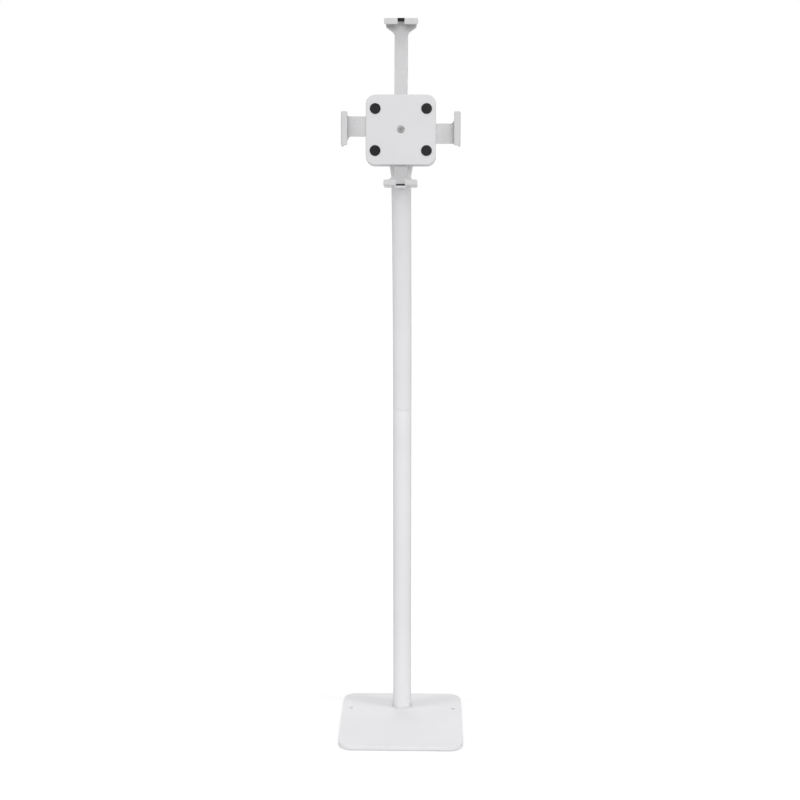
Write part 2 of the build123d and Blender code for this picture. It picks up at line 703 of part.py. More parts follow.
# Screws that close the two covers from behind
with BuildPart() as cover_screws:
    with BuildSketch(holder.offset(body_back)):
        with GridLocations(cover_screw_span, cover_screw_span, 2, 2):
            Circle(cover_screw_head_radius)
    extrude(amount=cover_screw_head_height, taper=countersink_taper)
    with BuildSketch(holder.offset(body_back)):
        with GridLocations(cover_screw_span, cover_screw_span, 2, 2):
            Circle(cover_screw_radius)
    extrude(amount=side_back - body_back)
    with BuildSketch(holder.offset(body_back)):
        with GridLocations(cover_screw_span, cover_screw_span, 2, 2):
            RegularPolygon(cover_screw_socket_radius, hex_sides)
    extrude(amount=cover_screw_socket_depth, mode=Mode.SUBTRACT)
save(cover_screws.part, "cover_screws")

# Rubber pads that the device's back rests on
with BuildPart() as front_pads:
    with BuildSketch(holder):
        with GridLocations(pad_span_x, pad_span_y, 2, 2):
            Circle(pad_radius)
    extrude(amount=-pad_proud - pad_sink)
    chamfer(front_pads.faces().sort_by(holder_outward)[-1].edges(), pad_edge)
save(front_pads.part, "front_pads")

# Steel guide plate between the side arms and the long arms
guide_plate_size = cavity_size - 2 * guide_plate_gap
guide_plate_corner = body_corner_radius - body_wall - guide_plate_gap
with BuildPart() as guide_plate:
    with BuildSketch(holder.offset(guide_back)):
        RectangleRounded(guide_plate_size, guide_plate_size, guide_plate_corner)
        with GridLocations(cover_screw_span, cover_screw_span, 2, 2):
            Circle(cover_screw_radius + fit_gap, mode=Mode.SUBTRACT)
        Circle(pinion_pin_radius + fit_gap, mode=Mode.SUBTRACT)
    extrude(amount=guide_plate_thickness)
save(guide_plate.part, "guide_plate")

# Pinion pin, riveted in the guide plate, with a shoulder under the pinion and a socket in its head
with BuildPart() as pinion_pin:
    with BuildSketch(holder.offset(guide_back)):
        Circle(pinion_pin_radius)
    extrude(amount=side_front + turn_gap - guide_back)
    with BuildSketch(holder.offset(guide_front)):
        Circle(pinion_shoulder_radius)
    extrude(amount=side_back - turn_gap - guide_front)
    with BuildSketch(holder.offset(side_front + turn_gap)):
        Circle(pinion_pin_head_radius)
    extrude(amount=pinion_pin_head_height)
    with BuildSketch(holder.offset(side_front + turn_gap + pinion_pin_head_height)):
        RegularPolygon(pinion_pin_socket_radius, hex_sides)
    extrude(amount=-side_arm_thickness / 2, mode=Mode.SUBTRACT)
save(pinion_pin.part, "pinion_pin")


def pinion_outline():
    """Points of the pinion, tooth by tooth: up one involute flank and down the other."""
    base_radius = pinion_pitch_radius * cos(radians(pressure_angle))
    tip_roll = sqrt((pinion_tip_radius / base_radius) ** 2 - 1)
    pitch_involute = tan(radians(pressure_angle)) - radians(pressure_angle)
    half_base = pi / (2 * pinion_teeth) + pitch_involute - tooth_backlash / pinion_pitch_radius
    points = []
    for tooth in range(pinion_teeth):
        middle = pi / 2 + (tooth + 0.5) * 2 * pi / pinion_teeth
        flank = [(pinion_root_radius, half_base)]
        for step in range(flank_steps + 1):
            roll = tip_roll * step / flank_steps
            flank.append((base_radius * sqrt(1 + roll**2), half_base - roll + atan(roll)))
        for radius, half in flank:
            points.append((radius * cos(middle - half), radius * sin(middle - half)))
        for radius, half in reversed(flank):
            points.append((radius * cos(middle + half), radius * sin(middle + half)))
    return points


# Pinion that makes both side arms move alike
with BuildPart() as pinion_gear:
    with BuildSketch(holder.offset(side_back)):
        with BuildLine():
            Polyline(*pinion_outline(), close=True)
        make_face()
        Circle(pinion_pin_radius + fit_gap, mode=Mode.SUBTRACT)
    extrude(amount=side_arm_thickness)
save(pinion_gear.part, "pinion_gear")


def hook_solid(face, root, notch=0.0):
    """Hook for an edge of the device that lies face from the swivel along local x."""
    inner = face + lining_thickness
    outer = inner + hook_wall
    tip = face - hook_lip
    with BuildPart() as hook:
        with BuildSketch(across_section) as profile:
            with BuildLine():
                Polyline((outer, root), (outer, lip_outside), (tip, lip_outside), (tip, lip_inside),
                         (inner, lip_inside), (inner, root), close=True)
            make_face()
            fillet(profile.vertices().group_by(Axis.X)[-1].sort_by(Axis.Y)[-1], hook_corner)
            fillet(profile.vertices().group_by(Axis.X)[0], hook_edge)
        extrude(amount=hook_half, both=True)
        with BuildSketch(holder.offset(root)):
            with Locations(((tip + outer) / 2, 0)):
                RectangleRounded(outer - tip, hook_width, hook_corner)
        extrude(amount=lip_outside - root, mode=Mode.INTERSECT)
        if notch:
            with BuildSketch(holder):
                rib(tip - cut_overrun, outer + cut_overrun, -notch / 2, notch / 2)
            extrude(amount=lip_outside + cut_overrun, mode=Mode.SUBTRACT)
    return hook.part


def lining_solid(face, notch=0.0):
    """Rubber lining of the same hook, with a key that fills the notch if there is one."""
    inner = face + lining_thickness
    outer = inner + hook_wall
    tip = face - hook_lip + lining_lip_inset
    with BuildPart() as lining:
        with BuildSketch(across_section):
            with BuildLine():
                Polyline((inner, 0), (inner, lip_inside), (tip, lip_inside),
                         (tip, lip_inside - lining_thickness), (face, lip_inside - lining_thickness),
                         (face, 0), close=True)
            make_face()
        extrude(amount=hook_half - lining_inset, both=True)
        if notch:
            with BuildSketch(holder):
                rib(tip - cut_overrun, face, -notch / 2, notch / 2)
            extrude(amount=lip_inside + cut_overrun, mode=Mode.SUBTRACT)
            with BuildSketch(holder):
                rib(face, outer, -notch / 2 + fit_gap, notch / 2 - fit_gap)
            extrude(amount=lip_outside)
    return lining.part


# Right arm: plate through the cover's window, toothed rack past the pinion, and its hook
side_hook = hook_solid(side_face, side_back)
side_outer = side_face + lining_thickness + hook_wall
rack_root = pinion_pitch_radius + tooth_dedendum
rack_tip = pinion_pitch_radius - tooth_addendum
tooth_half = rack_step / 4 - tooth_backlash
tooth_lean = tan(radians(pressure_angle))
tooth_tip_half = tooth_half - tooth_addendum * tooth_lean
tooth_root_half = tooth_half + tooth_dedendum * tooth_lean
side_flare_end = side_outer - hook_corner - hook_wall
side_back_edge = side_outer - hook_wall / 2
flare_half = hook_half - hook_corner
with BuildPart() as right_arm:
    with BuildSketch(holder.offset(side_back)) as side_outline:
        with BuildLine():
            Polyline((side_arm_inner, -side_arm_low), (side_arm_flare_start, -side_arm_low),
                     (side_flare_end, -flare_half), (side_back_edge, -flare_half),
                     (side_back_edge, flare_half), (side_flare_end, flare_half),
                     (side_arm_flare_start, side_arm_high), (side_arm_inner, side_arm_high), close=True)
        make_face()
        fillet(side_outline.vertices().group_by(Axis.X)[2], side_arm_corner)
        fillet(side_outline.vertices().group_by(Axis.X)[1], side_arm_sweep_radius)
        fillet(side_outline.vertices().group_by(Axis.X)[0].sort_by(Axis.Y)[-1], side_arm_corner)
        rib(-rack_inner_end, side_arm_inner + side_arm_corner, -side_arm_low, -rack_root)
        for tooth in range(-rack_teeth_inward, rack_teeth_outward + 1):
            with BuildLine():
                Polyline((tooth * rack_step - tooth_root_half, -rack_root),
                         (tooth * rack_step - tooth_tip_half, -rack_tip),
                         (tooth * rack_step + tooth_tip_half, -rack_tip),
                         (tooth * rack_step + tooth_root_half, -rack_root), close=True)
            make_face()
    extrude(amount=side_arm_thickness)
    add(side_hook)
save(right_arm.part, "right_arm")

# Left arm: the right arm turned half a turn about the swivel
with BuildPart() as left_arm:
    add(right_arm.part.rotate(holder_outward, half_turn))
save(left_arm.part, "left_arm")

side_lining = lining_solid(side_face)
with BuildPart() as right_hook_lining:
    add(side_lining)
save(right_hook_lining.part, "right_hook_lining")

with BuildPart() as left_hook_lining:
    add(side_lining.rotate(holder_outward, half_turn))
save(left_hook_lining.part, "left_hook_lining")

# Top arm: bar with a flared head, its hook, and the latch notches along its right edge
top_hook = hook_solid(top_face, long_back, top_notch_width).rotate(holder_outward, quarter_turn)
top_outer = top_face + lining_thickness + hook_wall
notch_places = []
for step in range(-latch_notches_below, latch_notches_above):
    notch_places.append((long_half, lock_y + latch_step * (step + 0.5)))
with BuildPart() as top_arm:
    with BuildSketch(holder.offset(long_back)) as top_outline:
        with BuildLine():
            Polyline((-long_half, top_arm_foot), (long_half, top_arm_foot),
                     (long_half, top_outer - 2 * hook_flare_height),
                     (flare_half, top_outer - hook_flare_height),
                     (flare_half, top_outer - hook_wall / 2),
                     (-flare_half, top_outer - hook_wall / 2),
                     (-flare_half, top_outer - hook_flare_height),
                     (-long_half, top_outer - 2 * hook_flare_height), close=True)
        make_face()
        fillet(top_outline.vertices().group_by(Axis.Y)[2], hook_flare_radius)
        fillet(top_outline.vertices().group_by(Axis.Y)[1], long_arm_sweep_radius)
        with Locations(*notch_places):
            Polygon((cut_overrun, -latch_notch_width / 2), (cut_overrun, latch_notch_width / 2),
                    (0, latch_notch_width / 2), (-latch_tooth_depth, latch_notch_floor / 2),
                    (-latch_tooth_depth, -latch_notch_floor / 2), (0, -latch_notch_width / 2),
                    align=None, mode=Mode.SUBTRACT)
    extrude(amount=long_arm_thickness)
    add(top_hook)
save(top_arm.part, "top_arm")

with BuildPart() as top_hook_lining:
    add(lining_solid(top_face, top_notch_width).rotate(holder_outward, quarter_turn))
save(top_hook_lining.part, "top_hook_lining")

# Bottom arm: a wide root screwed in the rear cover, a stem, its hook and the tongue under it
bottom_hook = hook_solid(bottom_face, long_back, bottom_notch_width).rotate(holder_outward, -quarter_turn)
bottom_outer = bottom_face + lining_thickness + hook_wall
bottom_root_low = cavity_half - guide_plate_gap
with BuildPart() as bottom_arm:
    with BuildSketch(holder.offset(long_back)) as bottom_outline:
        rib(-bottom_root_width / 2, bottom_root_width / 2, -bottom_root_low, -bottom_root_top)
        with BuildLine():
            Polyline((-long_half, -bottom_root_top), (-long_half, 2 * hook_flare_height - bottom_outer),
                     (-flare_half, hook_flare_height - bottom_outer),
                     (-flare_half, hook_wall / 2 - bottom_outer),
                     (flare_half, hook_wall / 2 - bottom_outer),
                     (flare_half, hook_flare_height - bottom_outer),
                     (long_half, 2 * hook_flare_height - bottom_outer),
                     (long_half, -bottom_root_top), close=True)
        make_face()
        root_corners = bottom_outline.vertices().group_by(Axis.Y)[3].sort_by(Axis.X)
        fillet([root_corners[0], root_corners[-1]], bottom_root_corner)
        fillet(bottom_outline.vertices().group_by(Axis.Y)[2], long_arm_sweep_radius)
        fillet(bottom_outline.vertices().group_by(Axis.Y)[1], hook_flare_radius)
        with GridLocations(bottom_screw_span, 0, 2, 1):
            with Locations((0, -bottom_screw_height)):
                Circle(bottom_screw_radius + fit_gap, mode=Mode.SUBTRACT)
    extrude(amount=long_arm_thickness)
    with BuildSketch(holder.offset(long_front)):
        with GridLocations(bottom_screw_span, 0, 2, 1):
            with Locations((0, -bottom_screw_height)):
                Circle(bottom_screw_head_radius + fit_gap)
    extrude(amount=-bottom_screw_head_height, taper=countersink_taper, mode=Mode.SUBTRACT)
    with BuildSketch(holder.offset(long_back)) as tongue:
        rib(-tongue_width / 2, tongue_width / 2, -bottom_outer - tongue_thickness, -bottom_outer)
        fillet(tongue.vertices().group_by(Axis.Y)[0], tongue_corner)
    extrude(amount=lip_outside - long_back)
    add(bottom_hook)
save(bottom_arm.part, "bottom_arm")

with BuildPart() as bottom_hook_lining:
    add(lining_solid(bottom_face, bottom_notch_width).rotate(holder_outward, -quarter_turn))
save(bottom_hook_lining.part, "bottom_hook_lining")

with BuildPart() as bottom_arm_screws:
    with BuildSketch(holder.offset(long_front)):
        with GridLocations(bottom_screw_span, 0, 2, 1):
            with Locations((0, -bottom_screw_height)):
                Circle(bottom_screw_head_radius)
    extrude(amount=-bottom_screw_head_height, taper=countersink_taper)
    with BuildSketch(holder.offset(long_front)):
        with GridLocations(bottom_screw_span, 0, 2, 1):
            with Locations((0, -bottom_screw_height)):
                Circle(bottom_screw_radius)
    extrude(amount=-bottom_screw_length)
save(bottom_arm_screws.part, "bottom_arm_screws")

# Lock barrel and its nut in the rear cover
with BuildPart() as lock_barrel:
    with BuildSketch(holder.offset(flange_back)):
        with Locations((lock_x, lock_y)):
            Circle(lock_flange_radius)
    extrude(amount=lock_flange_height)
    with BuildSketch(holder.offset(flange_back)):
        with Locations((lock_x, lock_y)):
            Circle(lock_barrel_radius)
    extrude(amount=barrel_front - flange_back)
    chamfer(lock_barrel.faces().sort_by(holder_outward)[0].edges(), lock_flange_edge)
    with BuildSketch(holder.offset(flange_back)):
        with Locations((lock_x, lock_y)):
            Circle(lock_plug_radius + fit_gap)
    extrude(amount=barrel_front - flange_back, mode=Mode.SUBTRACT)
save(lock_barrel.part, "lock_barrel")

with BuildPart() as lock_nut:
    with BuildSketch(holder.offset(pocket_floor)):
        with Locations((lock_x, lock_y)):
            RegularPolygon(lock_nut_radius, hex_sides)
            Circle(lock_barrel_radius + fit_gap, mode=Mode.SUBTRACT)
    extrude(amount=lock_nut_height)
save(lock_nut.part, "lock_nut")

# Lock plug with its keyway, and the cam whose pin drives the latch
with BuildPart() as lock_plug:
    with BuildSketch(holder.offset(plug_back)):
        with Locations((lock_x, lock_y)):
            Circle(lock_plug_radius)
    extrude(amount=cam_back - plug_back)
    with BuildSketch(holder.offset(plug_back)):
        with Locations((lock_x, lock_y)):
            Rectangle(key_slot_width, key_slot_length)
    extrude(amount=key_slot_depth, mode=Mode.SUBTRACT)
save(lock_plug.part, "lock_plug")

pin_x = lock_x + latch_travel / 2
pin_y = lock_y + latch_travel / 2
latch_front = long_front - layer_gap
with BuildPart() as lock_cam:
    with BuildSketch(holder.offset(cam_back)):
        with Locations((lock_x, lock_y)):
            Circle(lock_cam_radius)
    extrude(amount=lock_cam_thickness)
    with BuildSketch(holder.offset(cam_front)):
        with Locations((pin_x, pin_y)):
            Circle(lock_pin_radius)
    extrude(amount=latch_front - cam_front)
save(lock_cam.part, "lock_cam")

# Latch: a toothed pawl with a slot for the cam's pin, shown drawn back from the top arm
latch_slope = (latch_notch_width - latch_notch_floor) / (2 * latch_tooth_depth)
latch_bite = latch_travel - latch_rest_gap
latch_tip_half = latch_notch_floor / 2 + latch_slope * (latch_tooth_depth - latch_bite) - latch_tooth_gap
latch_root_half = latch_tip_half + latch_slope * latch_tooth_depth
latch_slot_half = lock_pin_radius + latch_slot_gap
latch_slot_low = pin_y - latch_slot_half
latch_slot_high = lock_y + cam_throw + latch_slot_half
latch_slot_length = latch_slot_high - latch_slot_low
with BuildPart() as latch_pawl:
    with BuildSketch(holder.offset(long_back)):
        rib(latch_root, latch_outer, latch_low, latch_high)
        for tooth in range(latch_teeth):
            with Locations((latch_root, lock_y + latch_step * (tooth - (latch_teeth - 1) / 2))):
                Polygon((0, -latch_root_half), (0, latch_root_half), (-latch_tooth_depth, latch_tip_half),
                        (-latch_tooth_depth, -latch_tip_half), align=None)
        with Locations((pin_x, (latch_slot_low + latch_slot_high) / 2)):
            SlotOverall(latch_slot_length, 2 * latch_slot_half, rotation=quarter_turn, mode=Mode.SUBTRACT)
    extrude(amount=latch_front - long_back)
save(latch_pawl.part, "latch_pawl")
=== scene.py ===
# %% [markdown]
# # A white floor stand, built as surfaces
# This lesson dresses a floor stand: a heavy plate, a slim pole in two tubes and a holder with
# four hooks. The mechanical model gives every size and every joint. Here each piece that shows
# gets a finer surface, worked out as whole arrays of points, and each finish gets its own grain.
# Everything is in metres, with Z up and the stand's front towards minus Y.

# %% Load the mechanical model
import json
from math import cos, pi, radians, sin

import bmesh
import bpy
import numpy as np
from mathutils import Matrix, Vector
from mathutils.geometry import delaunay_2d_cdt


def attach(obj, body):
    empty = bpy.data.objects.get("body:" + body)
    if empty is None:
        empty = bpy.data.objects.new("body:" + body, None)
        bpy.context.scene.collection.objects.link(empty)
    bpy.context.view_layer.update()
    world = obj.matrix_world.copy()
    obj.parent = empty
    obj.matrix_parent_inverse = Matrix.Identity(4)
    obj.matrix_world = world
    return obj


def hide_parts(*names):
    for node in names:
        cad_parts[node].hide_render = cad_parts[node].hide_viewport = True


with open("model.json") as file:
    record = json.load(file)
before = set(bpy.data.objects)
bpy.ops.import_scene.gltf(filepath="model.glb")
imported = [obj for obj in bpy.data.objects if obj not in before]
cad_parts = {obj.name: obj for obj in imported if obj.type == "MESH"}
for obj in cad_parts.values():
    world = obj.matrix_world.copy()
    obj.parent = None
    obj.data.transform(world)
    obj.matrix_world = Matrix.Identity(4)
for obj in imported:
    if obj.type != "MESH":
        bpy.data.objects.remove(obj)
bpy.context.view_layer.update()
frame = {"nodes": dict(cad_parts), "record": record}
mm = 0.001
INSIDE_OUTLINE = 1

# %% [markdown]
# ## From rings to a mesh
# Most pieces of a stand are closed skins: a row of rings, each with the same number of points,
# and a quad between every four neighbours. A lathe part, a swept tube and a plate with soft
# edges differ only in how their rings are worked out. The helper below numbers the points once
# and joins them all at the same time, so no loop ever walks over single points.


# %% Rings, shells and meshes
def skin(rings, wrap=False):
    """Shell through rings of points: point j of ring i meets point j of ring i + 1.

    With wrap the last ring meets the first, as on a pipe with a bore; otherwise the end rings
    are closed by flat faces. The points come as an array of rings by points by three.
    """
    rings = np.asarray(rings, float)
    count, around = rings.shape[:2]
    number = np.arange(count * around).reshape(count, around)
    here = number if wrap else number[:-1]
    there = np.roll(number, -1, axis=0) if wrap else number[1:]
    quads = np.stack([here, np.roll(here, -1, axis=1), np.roll(there, -1, axis=1), there], -1)
    faces = quads.reshape(-1, 4).tolist()
    if not wrap:
        faces += [number[0][::-1].tolist(), number[-1].tolist()]
    return rings.reshape(-1, 3), faces


def build_mesh(name, shells, sharp_angle=38):
    """One mesh from several shells. Points that lie on each other are merged, so that shells that
    meet close up, and the shading is smooth except where two faces meet above the sharp angle."""
    points, faces, start = [], [], 0
    for shell_points, shell_faces in shells:
        points.append(shell_points)
        faces += [[start + corner for corner in face] for face in shell_faces]
        start += len(shell_points)
    mesh = bpy.data.meshes.new(name)
    mesh.from_pydata(np.concatenate(points).tolist(), [], faces)
    weld = bmesh.new()
    weld.from_mesh(mesh)
    bmesh.ops.remove_doubles(weld, verts=weld.verts, dist=0.000004)
    weld.to_mesh(mesh)
    weld.free()
    mesh.polygons.foreach_set("use_smooth", np.ones(len(mesh.polygons), bool))
    mesh.set_sharp_from_angle(angle=radians(sharp_angle))
    mesh.validate()
    mesh.update()
    return mesh


def add_piece(name, shells, material, body, nodes=()):
    """Puts a finished skin in the scene: it rides on a body and stands for the nodes it refines."""
    piece = bpy.data.objects.new(name, build_mesh(name, shells))
    bpy.context.scene.collection.objects.link(piece)
    piece.data.materials.append(material)
    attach(piece, body)
    if nodes:
        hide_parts(*nodes)
    print(name, len(piece.data.polygons), "faces")


# %% [markdown]
# ## Outlines
# A moulded or stamped piece starts as a flat outline. Two tools are enough for all of them here:
# one rounds the corners of a polygon, and one moves a closed outline inwards by an even amount.
# Moving it in while it climbs gives a plate the soft edge that paint and moulding always leave.


# %% Outline tools
def rounded_outline(corners, radii, steps=6):
    """Polygon whose corners become arcs. The arc touches both edges at radius over the tangent
    of half the corner's angle, and its points turn evenly from one edge's normal to the other's.
    """
    corner = np.asarray(corners, float)
    radius = np.maximum(np.broadcast_to(np.asarray(radii, float), len(corner)), 1e-6)[:, None]
    back = np.roll(corner, 1, axis=0) - corner
    ahead = np.roll(corner, -1, axis=0) - corner
    back /= np.linalg.norm(back, axis=1)[:, None]
    ahead /= np.linalg.norm(ahead, axis=1)[:, None]
    half = np.arccos(np.clip((back * ahead).sum(1), -1, 1))[:, None] / 2
    middle = back + ahead
    middle /= np.linalg.norm(middle, axis=1)[:, None]
    centre = corner + middle * radius / np.sin(half)
    first = (corner + back * radius / np.tan(half) - centre)[:, None, :]
    last = (corner + ahead * radius / np.tan(half) - centre)[:, None, :]
    turn = (pi - 2 * half)[:, None, :]
    share = np.linspace(0, 1, steps)[None, :, None]
    arc = (np.sin((1 - share) * turn) * first + np.sin(share * turn) * last) / np.sin(turn)
    return (centre[:, None, :] + arc).reshape(-1, 2)


def rounded_rectangle(width, depth, radius, steps=12):
    """Rectangle with quarter-circle corners about the origin, counter-clockwise."""
    angle = (np.arange(4)[:, None] * pi / 2 + np.linspace(0, pi / 2, steps)).ravel()
    centre_x = np.repeat([1, -1, -1, 1], steps) * (width / 2 - radius)
    centre_y = np.repeat([1, 1, -1, -1], steps) * (depth / 2 - radius)
    return np.stack([centre_x + radius * np.cos(angle), centre_y + radius * np.sin(angle)], 1)


def moved_in(outline, distance):
    """Outline moved inwards: each point slides along the bisector of its two edges' normals, by
    the distance over the cosine of half the turn there."""
    ahead = np.roll(outline, -1, axis=0) - outline
    ahead /= np.linalg.norm(ahead, axis=1)[:, None]
    behind = np.roll(ahead, 1, axis=0)
    normal = np.stack([-ahead[:, 1] - behind[:, 1], ahead[:, 0] + behind[:, 0]], 1)
    return outline + distance * 2 * normal / (normal**2).sum(1)[:, None]


# %% [markdown]
# ## Soft edges
# Paint and moulding leave no sharp edge on a stand like this one. A Bevel modifier would round
# them too, but rings give the same round with few faces and say exactly where it starts. The
# heights and insets below make a quarter circle at the foot of a plate and one at its top.


# %% Levels of a soft edge
def soft_levels(low, high, edge, steps=4):
    """Heights and insets of a slab's rings: a quarter circle at the foot and one at the top.

    A holding ring a twentieth of the edge beyond each arc keeps the flats from looking swollen,
    because the smooth shading then bends only inside that narrow band.
    """
    angle = np.linspace(0, pi / 2, steps)
    rise, inset = edge * (1 - np.cos(angle)), edge * (1 - np.sin(angle))
    hold = edge / 20
    heights = np.concatenate([[low], low + rise, [low + edge + hold, high - edge - hold],
                              high - rise[::-1], [high]])
    insets = np.concatenate([[edge + hold], inset, [0, 0], inset[::-1], [edge + hold]])
    return heights, insets


# %% [markdown]
# ## Flat faces with holes
# The top of a drilled plate is flat, and any triangles will do as long as none crosses a hole or
# a hollow corner of the outline. A constrained triangulation keeps every rim as an edge, and the
# triangles inside the holes are then taken out.


# %% Triangles between rims
def flat_face(outer, holes, height, upwards):
    """Triangles between an outline and the rims of its holes, at one height."""
    rims = [outer] + holes
    points = [Vector(p) for rim in rims for p in rim.tolist()]
    edges, start = [], 0
    for rim in rims:
        index = start + np.arange(len(rim))
        edges += np.column_stack([index, np.roll(index, -1)]).tolist()
        start += len(rim)
    result = delaunay_2d_cdt(points, edges, [], INSIDE_OUTLINE, 1e-9)
    flat, faces = np.array([tuple(p) for p in result[0]]), np.array(result[2])
    for hole in holes:
        faces = faces[~inside(flat[faces].mean(axis=1), hole)]
    one, two, three = (flat[faces[:, corner]] for corner in range(3))
    area = np.cross(two - one, three - one)
    faces[(area > 0) != upwards] = faces[(area > 0) != upwards][:, ::-1]
    return np.column_stack([flat, np.full(len(flat), height)]), faces.tolist()


def inside(points, outline):
    """True for points inside a closed outline: the crossings of a ray to the right are odd."""
    x, y = points[:, 0, None], points[:, 1, None]
    x0, y0 = outline[:, 0], outline[:, 1]
    x1, y1 = np.roll(x0, -1), np.roll(y0, -1)
    spans = (y0 > y) != (y1 > y)
    with np.errstate(divide="ignore", invalid="ignore"):
        crossing = x0 + (y - y0) * (x1 - x0) / (y1 - y0)
    return (spans & (x < crossing)).sum(axis=1) % 2 == 1


# %% [markdown]
# ## Slabs
# Plates and arms are slabs: an outer wall of rings, a wall round each hole and two flat faces.
# The walls and faces share their rim points, so the welded mesh is closed.


# %% Walls and slabs
def open_wall(rings):
    """Wall through rings with no flat ends."""
    points, faces = skin(rings)
    return points, faces[:-2]


def slab(outline, low, high, edge, holes=(), steps=4):
    """Plate between two heights with round edges: the outline moved in by edge (1 - sin a) at
    the height edge (1 - cos a) above its foot, and the same below its top. Round holes are given
    as (x, y, radius)."""
    heights, insets = soft_levels(low, high, edge, steps)
    rings = [np.column_stack([moved_in(outline, inset), np.full(len(outline), height)])
             for height, inset in zip(heights, insets)]
    walls = [hole_rings(x, y, [(radius, high), (radius, low)]) for x, y, radius in holes]
    return plate_shells(rings, walls)


def plate_shells(rings, walls):
    """Outer wall, hole walls and the two flat faces between them, foot ring and wall foot first."""
    shells = [open_wall(rings)] + [open_wall(wall) for wall in walls]
    for level, upwards in ((0, False), (-1, True)):
        rims = [wall[level][:, :2] for wall in walls]
        shells.append(flat_face(rings[level][:, :2], rims, rings[level][0, 2], upwards))
    return shells


# %% [markdown]
# ## Turned pieces and holes
# Feet, rings, pads and the walls of holes are round. A Screw modifier could turn a profile, and
# so can one outer product of the profile's radii with a circle of directions.


# %% Turned rings, arcs and placing
def lathe(profile, around=96):
    """Profile of (radius, height) turned about the third axis: x = r cos a, y = r sin a."""
    profile = np.asarray(profile, float)
    angle = np.linspace(0, 2 * pi, around, endpoint=False)
    ring = np.stack([np.cos(angle), np.sin(angle), np.zeros(around)], 1)
    rings = profile[:, 0, None, None] * ring[None]
    rings[:, :, 2] = profile[:, 1, None]
    return rings


def hole_rings(x, y, profile, around=48):
    """Wall of a round hole, profile given as (radius, height) from the top down."""
    rings = lathe(profile, around)[::-1, ::-1]
    return rings + np.array([x, y, 0])


def arc(centre, radius, start, end, steps=8):
    """Points of a circular arc in a flat profile, angles in degrees."""
    angle = np.radians(np.linspace(start, end, steps))
    return np.stack([centre[0] + radius * np.cos(angle), centre[1] + radius * np.sin(angle)], 1)


def moved(shell, origin):
    """Shell carried to a place: each point plus the place's own point."""
    points, faces = shell
    return points + np.asarray(origin, float), faces


# %% [markdown]
# ## Finishes
# A white product is never one flat white. Powder coat has a faint orange-peel ripple and a touch
# more gloss than moulded plastic, whose fine spark texture scatters light. Each finish below is
# the same small recipe: broad noise for tone, middle noise for gloss and fine noise for relief,
# all on Object coordinates, so that the grain sticks to the piece.


# %% A recipe for grainy finishes
def finish(name, dark, light, gloss, relief, metal=0.0, tone_scale=9.0, relief_scale=900.0,
           shine=0.25):
    """Material from noise: tone runs between two colours, roughness between two values, and a
    bump of the given depth in millimetres follows a noise of relief_scale cells a metre."""
    material = bpy.data.materials.new(name)
    material.use_nodes = True
    tree = material.node_tree
    shader = tree.nodes["Principled BSDF"]
    shader.inputs["Metallic"].default_value = metal
    shader.inputs["Specular IOR Level"].default_value = 0.5 if metal else shine
    place = tree.nodes.new("ShaderNodeTexCoord")
    tone = tree.nodes.new("ShaderNodeTexNoise")
    tone.inputs["Scale"].default_value = tone_scale
    tone.inputs["Detail"].default_value = 3
    ramp = tree.nodes.new("ShaderNodeValToRGB")
    ramp.color_ramp.elements[0].position = 0.3
    ramp.color_ramp.elements[1].position = 0.7
    ramp.color_ramp.elements[0].color = (*dark, 1)
    ramp.color_ramp.elements[1].color = (*light, 1)
    tree.links.new(place.outputs["Object"], tone.inputs["Vector"])
    tree.links.new(tone.outputs["Fac"], ramp.inputs["Fac"])
    tree.links.new(ramp.outputs["Color"], shader.inputs["Base Color"])
    sheen = tree.nodes.new("ShaderNodeTexNoise")
    sheen.inputs["Scale"].default_value = tone_scale * 7
    sheen.inputs["Detail"].default_value = 2
    spread = tree.nodes.new("ShaderNodeMapRange")
    spread.inputs["From Min"].default_value = 0.3
    spread.inputs["From Max"].default_value = 0.7
    spread.inputs["To Min"].default_value = gloss[0]
    spread.inputs["To Max"].default_value = gloss[1]
    tree.links.new(place.outputs["Object"], sheen.inputs["Vector"])
    tree.links.new(sheen.outputs["Fac"], spread.inputs["Value"])
    tree.links.new(spread.outputs["Result"], shader.inputs["Roughness"])
    fine = tree.nodes.new("ShaderNodeTexNoise")
    fine.inputs["Scale"].default_value = relief_scale
    fine.inputs["Detail"].default_value = 2
    bump = tree.nodes.new("ShaderNodeBump")
    bump.inputs["Strength"].default_value = 0.6
    bump.inputs["Distance"].default_value = relief * mm
    tree.links.new(place.outputs["Object"], fine.inputs["Vector"])
    tree.links.new(fine.outputs["Fac"], bump.inputs["Height"])
    tree.links.new(bump.outputs["Normal"], shader.inputs["Normal"])
    return material


# %% [markdown]
# ## The finishes of the stand
# Steel is powder coated, the fork and the swivel disc are painted castings, the covers are
# moulded with a fine spark texture, and the hooks are a glossier, slightly greyer plastic.
# Rubber, nylon, zinc-plated steel and the lock's chrome complete the set.

# %% Eight finishes
powder_coat = finish("powder_coat", (0.79, 0.785, 0.802), (0.83, 0.825, 0.842), (0.5, 0.6), 0.1,
                     relief_scale=600)
cast_coat = finish("cast_coat", (0.77, 0.77, 0.775), (0.82, 0.82, 0.825), (0.38, 0.5), 0.05,
                   relief_scale=800)
moulded_white = finish("moulded_white", (0.69, 0.686, 0.7), (0.73, 0.726, 0.74), (0.46, 0.56), 0.05,
                       relief_scale=2200)
hook_white = finish("hook_white", (0.58, 0.577, 0.587), (0.62, 0.617, 0.628), (0.24, 0.32), 0.02,
                    relief_scale=1800, shine=0.55)
soft_rubber = finish("soft_rubber", (0.012, 0.012, 0.013), (0.03, 0.03, 0.032), (0.7, 0.85), 0.06,
                     relief_scale=2600)
nylon = finish("nylon", (0.72, 0.71, 0.66), (0.8, 0.79, 0.74), (0.4, 0.5), 0.02, relief_scale=1500)
